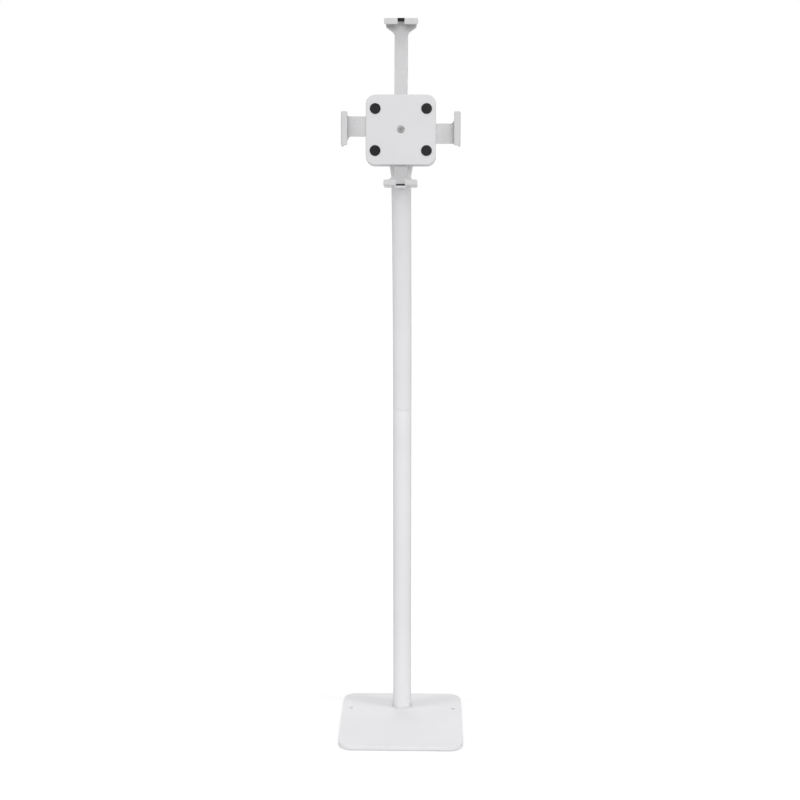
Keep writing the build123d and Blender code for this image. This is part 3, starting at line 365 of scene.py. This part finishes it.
zinc_steel = finish("zinc_steel", (0.33, 0.33, 0.34), (0.42, 0.42, 0.44), (0.24, 0.36), 0.01,
                    metal=1.0, tone_scale=60, relief_scale=1500)
lock_chrome = finish("lock_chrome", (0.72, 0.72, 0.73), (0.82, 0.82, 0.83), (0.08, 0.14), 0.004,
                     metal=1.0, tone_scale=40, relief_scale=1200)

finish_of_slot = {
    "white_steel": powder_coat,
    "white_cast_alloy": cast_coat,
    "white_plastic": moulded_white,
    "hook_plastic": hook_white,
    "black_rubber": soft_rubber,
    "nylon": nylon,
    "bright_steel": zinc_steel,
    "lock_chrome": lock_chrome,
}
print(len(finish_of_slot), "finishes")

# %% [markdown]
# ## Every mechanical piece gets its finish first
# Screws, washers, the fork and the covers keep the shape that the mechanical model gives them.
# Their finish goes in their objects' material slots, and the refined pieces come afterwards.

# %% Paint the mechanical pieces
slot_of_node = {row["node"]: row["material_slot"] for row in frame["record"]["subparts"]}
for node, thing in frame["nodes"].items():
    thing.data.materials.clear()
    thing.data.materials.append(finish_of_slot[slot_of_node[node]])
print(len(frame["nodes"]), "pieces painted")

# %% [markdown]
# ## The base plate
# A laser-cut steel plate, 6 mm thick, whose top edge was eased before it was coated. It could be
# a cube with bevels, but its corners, its eased edge and its three screw holes all follow from a
# few circles, so it is worked out as rings. The flat faces between the outline and the holes are
# triangulated with the hole rims as constraints.

# %% Rings of the plate
plate_size, plate_corner, corner_steps = 200 * mm, 22 * mm, 20
plate_low, plate_high = 1.5 * mm, 7.5 * mm
plate_ease, plate_foot_ease = 0.6 * mm, 0.5 * mm
pole_y = 52 * mm
edge_angle = np.radians(np.linspace(0, 90, 7))
outer_profile = [(plate_foot_ease, plate_low), (0, plate_low + plate_foot_ease)]
outer_profile += [(plate_ease * (1 - cos(angle)), plate_high - plate_ease * (1 - sin(angle)))
                  for angle in edge_angle]
outer_profile.append((plate_ease * 1.05, plate_high))
plate_rings = []
for inset, height in outer_profile:
    width = plate_size - 2 * inset
    ring = rounded_rectangle(width, width, plate_corner - inset, corner_steps)
    plate_rings.append(np.column_stack([ring, np.full(len(ring), height)]))
plate_rings = np.array(plate_rings)
print("plate:", plate_rings.shape[0], "rings of", plate_rings.shape[1], "points")

# %% [markdown]
# ## The plate's holes
# Two small countersunk holes take floor screws, and the pole's big screw comes up from below
# through the third, whose countersink is on the underside.

# %% Holes and finished plate
floor_hole = [(4.0 * mm, plate_high), (3.85 * mm, plate_high), (3.7 * mm, plate_high - 0.12 * mm),
              (2.75 * mm, plate_high - 1.0 * mm), (2.75 * mm, plate_low)]
screw_hole = [(5.05 * mm, plate_high), (5.05 * mm, plate_low + 4.5 * mm), (9.55 * mm, plate_low)]
hole_list = [(-86 * mm, 42 * mm, floor_hole), (86 * mm, 42 * mm, floor_hole),
             (0, pole_y, screw_hole)]
walls = [hole_rings(x, y, profile) for x, y, profile in hole_list]
add_piece("plate", plate_shells(plate_rings, walls), powder_coat, "stand",
          ["base_plate"])

# %% [markdown]
# ## Feet and foot ring
# Four rubber feet lift the plate off the floor. They are lathe parts with a rounded lower rim.
# The ring round the pole's foot is a lathe part too: it hides the cut end of the tube, and its
# top falls away in a quarter circle.

# %% Turn the feet and the ring
foot_profile = np.concatenate([[[0.6 * mm, 1.5 * mm], [9 * mm, 1.5 * mm]],
                               arc((8.5 * mm, 0.5 * mm), 0.5 * mm, 0, -90),
                               [[6.5 * mm, 0], [6.2 * mm, 0.25 * mm], [0.6 * mm, 0.25 * mm]]])
foot_rings = lathe(foot_profile[::-1], 48)
foot_at = 80 * mm
foot_shells = [moved(skin(foot_rings), (x * foot_at, y * foot_at, 0))
               for x in (-1, 1) for y in (-1, 1)]
add_piece("feet", foot_shells, soft_rubber, "stand", ["base_feet"])

ring_profile = np.concatenate([[[15.06 * mm, 0], [17 * mm, 0]],
                               arc((15.6 * mm, 1.6 * mm), 1.4 * mm, 0, 90, 10),
                               arc((15.35 * mm, 2.71 * mm), 0.29 * mm, 90, 180, 5)])
ring_rings = lathe(ring_profile, 128)
foot_collar = moved(skin(ring_rings, wrap=True), (0, pole_y, plate_high))
add_piece("foot_collar", [foot_collar], moulded_white, "stand", ["foot_ring"])

# %% [markdown]
# ## The pole
# Two tubes of 30 mm steel are screwed end to end. The lower one is straight; the upper one starts
# straight and then leans forward in one long arc. Both could be curves with a bevel, but here both
# are one surface: a circle carried along a centre line, with the wall folded back through the bore.
# Small rounds at the rims make the seam show as the fine dark line it is.

# %% Centre line of the pole
tube_radius, tube_bore, tube_steps = 15 * mm, 13.5 * mm, 96
seam_z, straight_run, end_run = 525 * mm, 16 * mm, 22 * mm
bend_radius, bend_angle, bend_rows = 820 * mm, radians(24.4), 60
bend_length = bend_radius * bend_angle
print("the bend is", round(bend_length, 3), "m long")


def centre_line(distance):
    """Point and lean of the pole's centre at a distance above the seam: straight, then a circle
    of the bend's radius, then straight again along the end of the arc."""
    swing = np.clip((distance - straight_run) / bend_radius, 0, bend_angle)
    beyond = np.maximum(distance - straight_run - bend_length, 0)
    forward = bend_radius * (1 - np.cos(swing)) + beyond * np.sin(swing)
    up = np.minimum(distance, straight_run) + bend_radius * np.sin(swing) + beyond * np.cos(swing)
    return np.stack([np.zeros_like(up), pole_y - forward, seam_z + up], 1), swing


# %% [markdown]
# ## The tube's wall
# A pipe has no flat ends: its skin runs up the outside, over a small round rim, down the bore and
# over the other rim. The rings therefore close on themselves, and no cap is needed.


# %% Lower tube
def tube_wall(distances, rim=0.65 * mm):
    """Pipe along the centre line: outside from foot to top, over a round rim, and back down the
    bore. Ring point = centre + r (cos a X + sin a N), where N points out of the line's back."""
    low, high = distances[0], distances[-1]
    turn = np.radians([0, 30, 60, 90])
    inset, rise = rim * (1 - np.sin(turn)), rim * (1 - np.cos(turn))
    along = np.concatenate([low + rise, distances[1:-1], high - rise[::-1], distances[::-1]])
    radius = tube_radius - np.concatenate([inset, np.zeros(len(distances) - 2), inset[::-1]])
    radius = np.concatenate([radius, np.full(len(distances), tube_bore)])
    centre, swing = centre_line(along)
    angle = np.linspace(0, 2 * pi, tube_steps, endpoint=False)
    side = np.array([1.0, 0, 0])
    normal = np.stack([np.zeros_like(swing), np.cos(swing), np.sin(swing)], 1)
    rings = (centre[:, None] + radius[:, None, None] * (np.cos(angle)[None, :, None] * side
             + np.sin(angle)[None, :, None] * normal[:, None]))
    return skin(rings, wrap=True)


lower_run = np.linspace(plate_high - seam_z, 0, 12)
add_piece("pole_lower", [tube_wall(lower_run)], powder_coat, "stand", ["lower_tube"])

# %% [markdown]
# ## A hole in a round wall
# A set screw at the back of the neck keeps the fork in the upper tube, and it sits in a round hole.
# A boolean cut would do, but it leaves thin triangles. Here a square patch of quads is taken out
# of the outside and of the bore, and new quads join its border to a true circle on the wall.

# %% Rows of the upper tube
hole_reach, hole_radius, hole_column = 4, 2.55 * mm, tube_steps // 4
upper_length = straight_run + bend_length + end_run
hole_at = upper_length - 10 * mm
row_step = 2 * pi * tube_radius / tube_steps
hole_rows = hole_at + np.arange(-hole_reach, hole_reach + 1) * row_step
bend_run = np.linspace(straight_run, straight_run + bend_length, bend_rows)
upper_run = np.concatenate([[0, straight_run / 2], bend_run, hole_rows, [upper_length]])
hole_row = 2 + bend_rows + hole_reach
print(len(upper_run), "rows, the hole at row", hole_row)


# %% Upper tube with its screw hole
def open_back(shell, distances, middle):
    """Tube with a round hole at the back, at distance number middle of its rows.

    The border of each patch is walked counter-clockwise as seen from behind. A point of it at
    angle t about the middle meets the circle's point (r cos t, r sin t), whose depth on a wall of
    radius R is sqrt(R^2 - (r cos t)^2).
    """
    points, faces, around = shell[0], np.array(shell[1]), tube_steps
    reach = np.arange(-hole_reach, hole_reach)
    far = np.full(2 * hole_reach, hole_reach)
    column = np.concatenate([reach, far, -reach, -far])
    row = np.concatenate([-far, reach, far, -reach])
    count, kept = len(distances), np.ones((len(faces) // around, around), bool)
    outside, bore = (tube_radius, 3 + middle, 1), (tube_bore, 2 * count + 5 - middle, -1)
    shells = []
    for radius, first, way in (outside, bore):
        low, left = first - hole_reach, hole_column - hole_reach
        kept[low:low + 2 * hole_reach, left:left + 2 * hole_reach] = False
        border = (first + way * row) * around + hole_column + column
        angle = np.arctan2(row * row_step, tube_radius * np.sin(column * 2 * pi / tube_steps))
        across, along = hole_radius * np.cos(angle), hole_radius * np.sin(angle)
        centre, swing = centre_line(hole_at + along)
        backwards = np.stack([np.zeros_like(swing), np.cos(swing), np.sin(swing)], 1)
        circle = centre + np.sqrt(radius**2 - across**2)[:, None] * backwards
        circle[:, 0] -= across
        rim = len(points) + np.arange(len(border))
        points = np.concatenate([points, circle])
        quads = np.stack([border, np.roll(border, -1), np.roll(rim, -1), rim], 1)
        shells.append((rim, quads[:, ::way]))
    (outer_rim, outer_quads), (inner_rim, inner_quads) = shells
    wall = np.stack([outer_rim, np.roll(outer_rim, -1), np.roll(inner_rim, -1), inner_rim], 1)
    faces = np.concatenate([faces[kept.ravel()], outer_quads, inner_quads, wall])
    used, number = np.unique(faces, return_inverse=True)
    return points[used], number.reshape(faces.shape).tolist()


add_piece("pole_upper", [open_back(tube_wall(upper_run), upper_run, hole_row)], powder_coat,
          "stand", ["upper_tube"])

# %% [markdown]
# ## The holder's own axes
# The holder leans back by 11 degrees. Its pieces are far easier to describe in their own axes:
# u to the right, v up the holder and n out of its front, measured from the middle of the four
# pads. One function then carries a finished shell to its place on the stand.

# %% Axes of the holder
holder_middle = np.array([0, -61.0277, 973.9807]) * mm
lean = radians(11)
holder_axes = np.array([[1, 0, 0], [0, sin(lean), cos(lean)], [0, -cos(lean), sin(lean)]])


def on_holder(shell, quarter_turns=0):
    """Shell given in the holder's axes, turned about n by quarter turns, carried to its place."""
    points, faces = shell
    turn = quarter_turns * pi / 2
    spin = np.array([[cos(turn), sin(turn), 0], [-sin(turn), cos(turn), 0], [0, 0, 1]])
    return points @ spin @ holder_axes + holder_middle, faces


print("middle of the holder:", holder_middle.round(4).tolist())

# %% [markdown]
# ## A hook as a carried profile
# Each hook is a moulded strap: a wall that stands up from the arm and a lip that folds over the
# edge it grips. The way to model it is its side profile, carried across the hook's width. Near
# both ends the profile shrinks a little for a soft edge, and its two sides are held inside the
# rounded corners of the hook as seen from the front.

# %% Carry a profile
lip_inside, hook_wall, lining_skin, hook_lip = 8.7 * mm, 2.4 * mm, 0.9 * mm, 6.3 * mm
lip_outside = lip_inside + hook_wall
hook_half, hook_corner, hook_edge = 25 * mm, 2.2 * mm, 0.5 * mm
side_root, long_root = -7.6 * mm, -13.4 * mm
top_notch, low_notch = 10 * mm, 13 * mm
arm_thick, arm_ease, root_step = 4 * mm, 0.4 * mm, 0.02 * mm


def carried_profile(profile, start, end, edge, corner_at_start=0.0, corner_at_end=0.0, steps=5):
    """Closed profile in (out, n) carried along the width from start to end.

    The ring at distance d from an end is moved in by edge (1 - sin a) while d = edge (1 - cos a),
    and its sides keep r - sqrt(r^2 - (r - d)^2) clear of the full width where a corner of radius
    r rounds the end.
    """
    angle = np.linspace(0, pi / 2, steps)
    near = np.concatenate([edge * (1 - np.cos(angle)), [edge * 1.05]])
    corner = max(corner_at_start, corner_at_end)
    if corner:
        near = np.unique(np.concatenate([near, np.linspace(edge, corner, 7)[1:]]).round(9))
    across = np.concatenate([start + near, end - near[::-1]])
    reach_low, reach_high = profile[:, 0].min(), profile[:, 0].max()
    rings = []
    for place in across:
        gap = min(place - start, end - place)
        short = edge * (1 - np.sqrt(max(0.0, 1 - (1 - min(gap / edge, 1)) ** 2)))
        ring = moved_in(profile, short)
        radius = corner_at_start if place - start < end - place else corner_at_end
        clear = radius - np.sqrt(max(0.0, radius**2 - max(0.0, radius - gap) ** 2))
        ring[:, 0] = np.clip(ring[:, 0], reach_low + clear, reach_high - clear)
        rings.append(np.column_stack([ring[:, 0], np.full(len(ring), place), ring[:, 1]]))
    return skin(np.array(rings)[::-1])


# %% [markdown]
# ## Two kinds of hook
# The side hooks are whole. The top and bottom hooks are split in the middle: two prongs, a notch
# between them and a bridge of wall behind it, so they are three carried profiles.


# %% Whole and split hooks
def hook_profile(face, root):
    """Side view of a hook: wall, round shoulder and lip, counter-clockwise in (out, n)."""
    inner = face + lining_skin
    outer, tip = inner + hook_wall, face - hook_lip
    corners = [(outer, root), (outer, lip_outside), (tip, lip_outside), (tip, lip_inside),
               (inner, lip_inside), (inner, root)]
    return rounded_outline(corners, np.array([0.6, 2.2, 1.15, 1.15, 0.5, 0.6]) * mm, 7)


def hook_shells(face, root, notch=0.0):
    """One broad hook, or two prongs either side of a notch with a bridge of wall behind it."""
    profile = hook_profile(face, root)
    if not notch:
        return [carried_profile(profile, -hook_half, hook_half, hook_edge,
                                hook_corner, hook_corner)]
    sunk = 0.03 * mm
    near, far = face + lining_skin + sunk, face + lining_skin + hook_wall - sunk
    bridge = rounded_outline([(near, root + sunk), (far, root + sunk), (far, 0), (near, 0)],
                             0.2 * mm)
    return [carried_profile(profile, notch / 2, hook_half, hook_edge, 0, hook_corner),
            carried_profile(profile, -hook_half, -notch / 2, hook_edge, hook_corner, 0),
            carried_profile(bridge, -notch / 2 - 1 * mm, notch / 2 + 1 * mm, 0.2 * mm)]


# %% [markdown]
# ## Rubber linings
# A thin folded strip of black rubber lies inside each hook. Its gripping face has fine ribs,
# which a bump could only suggest, so they are in the profile itself. In a split hook a key of the
# same rubber fills the notch, and it is what shows from the front as a short black line.


# %% Ribbed lining and key
def lining_shells(face, notch=0.0):
    """Rubber lining: a thin folded strip with fine ribs, and a key that fills the notch.

    The ribs stand out of the face by depth (1 - cos(2 pi height / pitch)) / 2.
    """
    rib_depth, rib_pitch = 0.12 * mm, 1.0 * mm
    inner, tip = face + lining_skin, face - hook_lip + 0.6 * mm
    height = np.linspace(lip_inside - lining_skin - 0.4 * mm, 0.4 * mm, 64)
    ribs = face + rib_depth * (1 - np.cos(height / rib_pitch * 2 * pi)) / 2
    strip = np.concatenate([[(inner, 0), (inner, lip_inside), (tip, lip_inside),
                             (tip, lip_inside - lining_skin), (face, lip_inside - lining_skin)],
                            np.column_stack([ribs, height]), [(face, 0)]])
    half = hook_half - 0.8 * mm
    if not notch:
        return [carried_profile(strip, -half, half, 0.2 * mm)]
    key = rounded_outline([(face, 0), (inner + hook_wall, 0), (inner + hook_wall, lip_outside),
                           (inner, lip_outside), (inner, lip_inside), (face, lip_inside)],
                          np.array([0.2, 0.2, 1.7, 0.4, 0.2, 0.3]) * mm)
    gap = 0.05 * mm
    return [carried_profile(strip, notch / 2, half, 0.2 * mm),
            carried_profile(strip, -half, -notch / 2, 0.2 * mm),
            carried_profile(key, -notch / 2 + gap, notch / 2 - gap, 0.2 * mm)]


# %% [markdown]
# ## The sliding arms
# Behind each hook is a flat arm. The side arms are half rack, half paddle: their teeth run on
# one pinion, so that both move alike. Rack, paddle and flare are one outline, so the teeth are
# worked out as a repeated pattern of four points and the slab follows.

# %% Teeth of a rack
side_face, top_face, bottom_face = 84.75 * mm, 158.7 * mm, 81.3 * mm
step, root_v, tip_v = pi * 1.5 * mm, 13.6 * mm, 10.7 * mm
slope, below_pitch, above_pitch = np.tan(radians(20)), 1.6 * mm, 1.3 * mm
half_tooth = step / 4 - 0.12 * mm
foot_half, tip_half = half_tooth + below_pitch * slope, half_tooth - above_pitch * slope
tooth = np.array([[foot_half, -root_v], [tip_half, -tip_v],
                  [-tip_half, -tip_v], [-foot_half, -root_v]])
places = np.arange(6, -6, -1) * step
rack = (tooth[None] + np.stack([places, 0 * places], 1)[:, None]).reshape(-1, 2)
rack_end = 5.5 * step
print(len(places), "teeth,", round(step / mm, 3), "mm apart")

# %% [markdown]
# ## The side arms
# Both arms are the same moulding, one turned half round: the left rack runs above the pinion and
# the right one below. The outline widens in a soft sweep to the full width of the hook.

# %% Left and right side arm
outer = side_face + lining_skin + hook_wall
arm_corners = np.concatenate([
    np.array([[-rack_end / mm, -20], [76, -20], [outer / mm - 4.6, -22.8],
              [outer / mm - 1.2, -22.8], [outer / mm - 1.2, 22.8], [outer / mm - 4.6, 22.8],
              [76, 9.5], [44, 9.5], [44, -13.6]]) * mm,
    rack, [[-rack_end, -root_v]]])
tooth_radii = np.tile([0.2, 0.45, 0.45, 0.2], len(places))
arm_radii = np.concatenate([[0.8, 4, 3, 0.5, 0.5, 3, 4, 3, 1.2], tooth_radii, [0.5]]) * mm
arm_outline = rounded_outline(arm_corners, arm_radii, 5)
arm_plate = slab(arm_outline, side_root + root_step, side_root + arm_thick, arm_ease)
side_shells = arm_plate + hook_shells(side_face, side_root)
for name, turns in (("right", 0), ("left", 2)):
    add_piece(name + "_side_arm", [on_holder(shell, turns) for shell in side_shells], hook_white,
              name + "_side_arm", [name + "_arm"])
    add_piece(name + "_grip", [on_holder(shell, turns) for shell in lining_shells(side_face)],
              soft_rubber, name + "_side_arm", [name + "_hook_lining"])

# %% [markdown]
# ## The top arm
# The top arm slides in the holder and can be locked: its right edge has a notch every three
# millimetres, into which the latch's teeth drop. Real notches in the outline catch the light as
# a painted pattern never would.

# %% Top arm and its lining
notch_v = 28 * mm + 3 * mm * (np.arange(-7, 16) + 0.5)
notch = np.array([[10, -1.2], [8.5, -0.25], [8.5, 0.25], [10, 1.2]]) * mm
notches = (notch[None] + np.stack([0 * notch_v, notch_v], 1)[:, None]).reshape(-1, 2)
top_outer = top_face + lining_skin + hook_wall
top_corners = np.concatenate([
    np.array([[-10, 7], [8, 7]]) * mm, notches[2:],
    np.array([[10, top_outer / mm - 18], [22.8, top_outer / mm - 9], [22.8, top_outer / mm - 1.2],
              [-22.8, top_outer / mm - 1.2], [-22.8, top_outer / mm - 9],
              [-10, top_outer / mm - 18]]) * mm])
top_radii = np.concatenate([[1.5, 1.5], np.tile([0.45, 0.15, 0.15, 0.45], len(notch_v))[2:],
                            [8, 4, 0.5, 0.5, 4, 8]]) * mm
top_outline = rounded_outline(top_corners, top_radii, 5)
top_plate = slab(top_outline, long_root + root_step, long_root + arm_thick, arm_ease)
top_shells = [on_holder(shell) for shell in top_plate]
top_shells += [on_holder(shell, 1) for shell in hook_shells(top_face, long_root, top_notch)]
add_piece("top_slide_arm", top_shells, hook_white, "top_slide", ["top_arm"])
top_lining = [on_holder(shell, 1) for shell in lining_shells(top_face, top_notch)]
add_piece("top_grip", top_lining, soft_rubber, "top_slide", ["top_hook_lining"])

# %% [markdown]
# ## The bottom arm
# The bottom arm doesn't slide. Two screws hold its broad root in the holder, and below its hook
# it carries a small round tongue, the one detail of the clips that is easy to see in the picture.

# %% Bottom arm, tongue and lining
low_outer = bottom_face + lining_skin + hook_wall
low_corners = np.array([[22, -49.3], [22, -38], [-22, -38], [-22, -49.3], [-10, -49.3],
                        [-10, 18 - low_outer / mm], [-22.8, 9 - low_outer / mm],
                        [-22.8, 1.2 - low_outer / mm], [22.8, 1.2 - low_outer / mm],
                        [22.8, 9 - low_outer / mm], [10, 18 - low_outer / mm], [10, -49.3]]) * mm
low_screws = [(15 * mm, -44.5 * mm, 1.65 * mm), (-15 * mm, -44.5 * mm, 1.65 * mm)]
low_radii = np.array([2, 1, 1, 2, 0.2, 8, 4, 0.5, 0.5, 4, 8, 0.2]) * mm
low_outline = rounded_outline(low_corners, low_radii, 6)
low_plate = slab(low_outline, long_root + root_step, long_root + arm_thick, arm_ease, low_screws)
tongue_corners = np.array([[8.75, -84.2], [-8.75, -84.2], [-8.75, -87.6], [8.75, -87.6]]) * mm
tongue_outline = rounded_outline(tongue_corners, np.array([0.8, 0.8, 2.2, 2.2]) * mm, 8)
tongue = slab(tongue_outline, long_root, lip_outside, 0.6 * mm)
low_shells = [on_holder(shell) for shell in low_plate + tongue]
low_shells += [on_holder(shell, 3) for shell in hook_shells(bottom_face, long_root, low_notch)]
add_piece("bottom_fixed_arm", low_shells, hook_white, "holder", ["bottom_arm"])
low_lining = [on_holder(shell, 3) for shell in lining_shells(bottom_face, low_notch)]
add_piece("bottom_grip", low_lining, soft_rubber, "holder", ["bottom_hook_lining"])

# %% [markdown]
# ## Pads on the holder's face
# Four rubber discs keep what the hooks hold off the plastic. A lathe profile with a domed rim and
# two fine grooves makes them look like moulded parts and not like flat dots.

# %% Front pads
pad_radius = np.linspace(0.2, 7.2, 60) * mm
from_groove = (pad_radius[:, None] / mm - np.array([3.0, 6.0])) / 0.22
groove = 0.12 * mm * np.exp(-from_groove**2).sum(1)
pad_profile = np.concatenate([np.column_stack([pad_radius, -groove]),
                              arc((7.4 * mm, -0.6 * mm), 0.6 * mm, 80, 0, 6),
                              [[8 * mm, -1.5 * mm], [0.2 * mm, -1.5 * mm]]])
pad = skin(lathe(pad_profile[::-1], 48))
pad_x, pad_y = 38 * mm, 31 * mm
pads = [on_holder(moved(pad, (x * pad_x, y * pad_y, 0))) for x in (-1, 1) for y in (-1, 1)]
add_piece("face_pads", pads, soft_rubber, "holder", ["front_pads"])

# %% [markdown]
# ## Studio
# The stand is photographed on white. The sky is white for the camera and in reflections, but
# gentler as a light, so that white paint keeps its shading. The floor adds a little glow for the
# camera and for reflections: far from the stand it reads as white paper, and next to the plate a
# soft shadow stays.

# %% Floor and ray switch
floor_mesh = bpy.data.meshes.new("floor")
floor_mesh.from_pydata([(-12, -12, 0), (12, -12, 0), (12, 12, 0), (-12, 12, 0)], [], [(0, 1, 2, 3)])
floor = bpy.data.objects.new("floor", floor_mesh)
bpy.context.scene.collection.objects.link(floor)


def camera_switch(tree, ray_kinds, plain, bright):
    """Number that is plain for most rays and bright for the named kinds of ray."""
    rays = tree.nodes.new("ShaderNodeLightPath")
    seen = rays.outputs[ray_kinds[0]]
    for kind in ray_kinds[1:]:
        either = tree.nodes.new("ShaderNodeMath")
        either.operation = "MAXIMUM"
        tree.links.new(seen, either.inputs[0])
        tree.links.new(rays.outputs[kind], either.inputs[1])
        seen = either.outputs[0]
    level = tree.nodes.new("ShaderNodeMapRange")
    level.inputs["To Min"].default_value = plain
    level.inputs["To Max"].default_value = bright
    tree.links.new(seen, level.inputs["Value"])
    return level.outputs["Result"]


# %% [markdown]
# ## Paper floor and white sky
# Both use the same switch: a Light Path node tells what kind of ray asks, and a Map Range gives
# it the plain or the bright number. Light from the stand's surroundings stays plain either way.

# %% Floor paint and sky
floor_paint = bpy.data.materials.new("floor_paint")
floor_paint.use_nodes = True
tree = floor_paint.node_tree
tree.nodes.clear()
matt = tree.nodes.new("ShaderNodeBsdfDiffuse")
matt.inputs["Color"].default_value = (0.7, 0.7, 0.7, 1)
glow = tree.nodes.new("ShaderNodeEmission")
both = tree.nodes.new("ShaderNodeAddShader")
out = tree.nodes.new("ShaderNodeOutputMaterial")
glow_rays, floor_glow = ["Is Camera Ray", "Is Glossy Ray"], 0.375
tree.links.new(camera_switch(tree, glow_rays, 0.0, floor_glow), glow.inputs["Strength"])
tree.links.new(matt.outputs[0], both.inputs[0])
tree.links.new(glow.outputs[0], both.inputs[1])
tree.links.new(both.outputs[0], out.inputs["Surface"])
floor.data.materials.append(floor_paint)

sky = bpy.data.worlds.new("sky")
bpy.context.scene.world = sky
sky.use_nodes = True
tree = sky.node_tree
back = tree.nodes["Background"]
back.inputs["Color"].default_value = (1, 1, 1, 1)
white_rays, sky_light = ["Is Camera Ray", "Is Glossy Ray", "Is Transmission Ray"], 0.385
tree.links.new(camera_switch(tree, white_rays, sky_light, 1.0), back.inputs["Strength"])
print("floor glow", floor_glow, "and sky light", sky_light)

# %% [markdown]
# ## Five suns
# A sun lights the whole height of a tall thing evenly, which a near lamp can't do. Three very
# wide ones do the modelling, from the front, from above and from behind. Two narrower ones from
# the front left and right give the pole the two soft shadows that lie behind it on the plate. The
# front and back suns stay out of reflections, so that metal shows the white room and no hot spot.


# %% Suns
def wide_sun(name, towards, spread, share):
    """Sun shining along a direction, spread in degrees; its share is of a white sky's light."""
    sun = bpy.data.lights.new(name, "SUN")
    sun.angle = radians(spread)
    sun.energy = share * pi
    lamp = bpy.data.objects.new(name, sun)
    bpy.context.scene.collection.objects.link(lamp)
    lamp.rotation_euler = Vector(towards).to_track_quat("-Z", "Y").to_euler()
    return lamp


wide_sun("front_sun", (-0.1, 0.95, -0.3), 40, 0.4).visible_glossy = False
wide_sun("top_sun", (0, 0.1, -1.0), 60, 0.165)
wide_sun("back_sun", (0.1, -0.9, -0.7), 50, 0.14).visible_glossy = False
wide_sun("left_sun", (0.94, 0.34, -1.4), 10, 0.12)
wide_sun("right_sun", (-0.94, 0.34, -1.4), 10, 0.14)

# %% [markdown]
# ## Camera
# The picture was taken from the height of the holder, about two metres away. Here the camera looks
# slightly down and its lens just takes in the whole stand, so that it can also be turned about
# the stand without cutting off the head.

# %% Camera
lens_data = bpy.data.cameras.new("camera")
lens_data.lens = 61.7
lens_data.shift_y = -0.025
lens_data.clip_end = 60
camera = bpy.data.objects.new("camera", lens_data)
bpy.context.scene.collection.objects.link(camera)
camera.location = (0.0433, -2.119, 1.023)
camera.rotation_euler = (radians(90 - 11.72), 0, radians(1.238))
bpy.context.scene.camera = camera
bpy.context.scene.view_settings.view_transform = "Standard"
print("camera at", [round(v, 3) for v in camera.location])
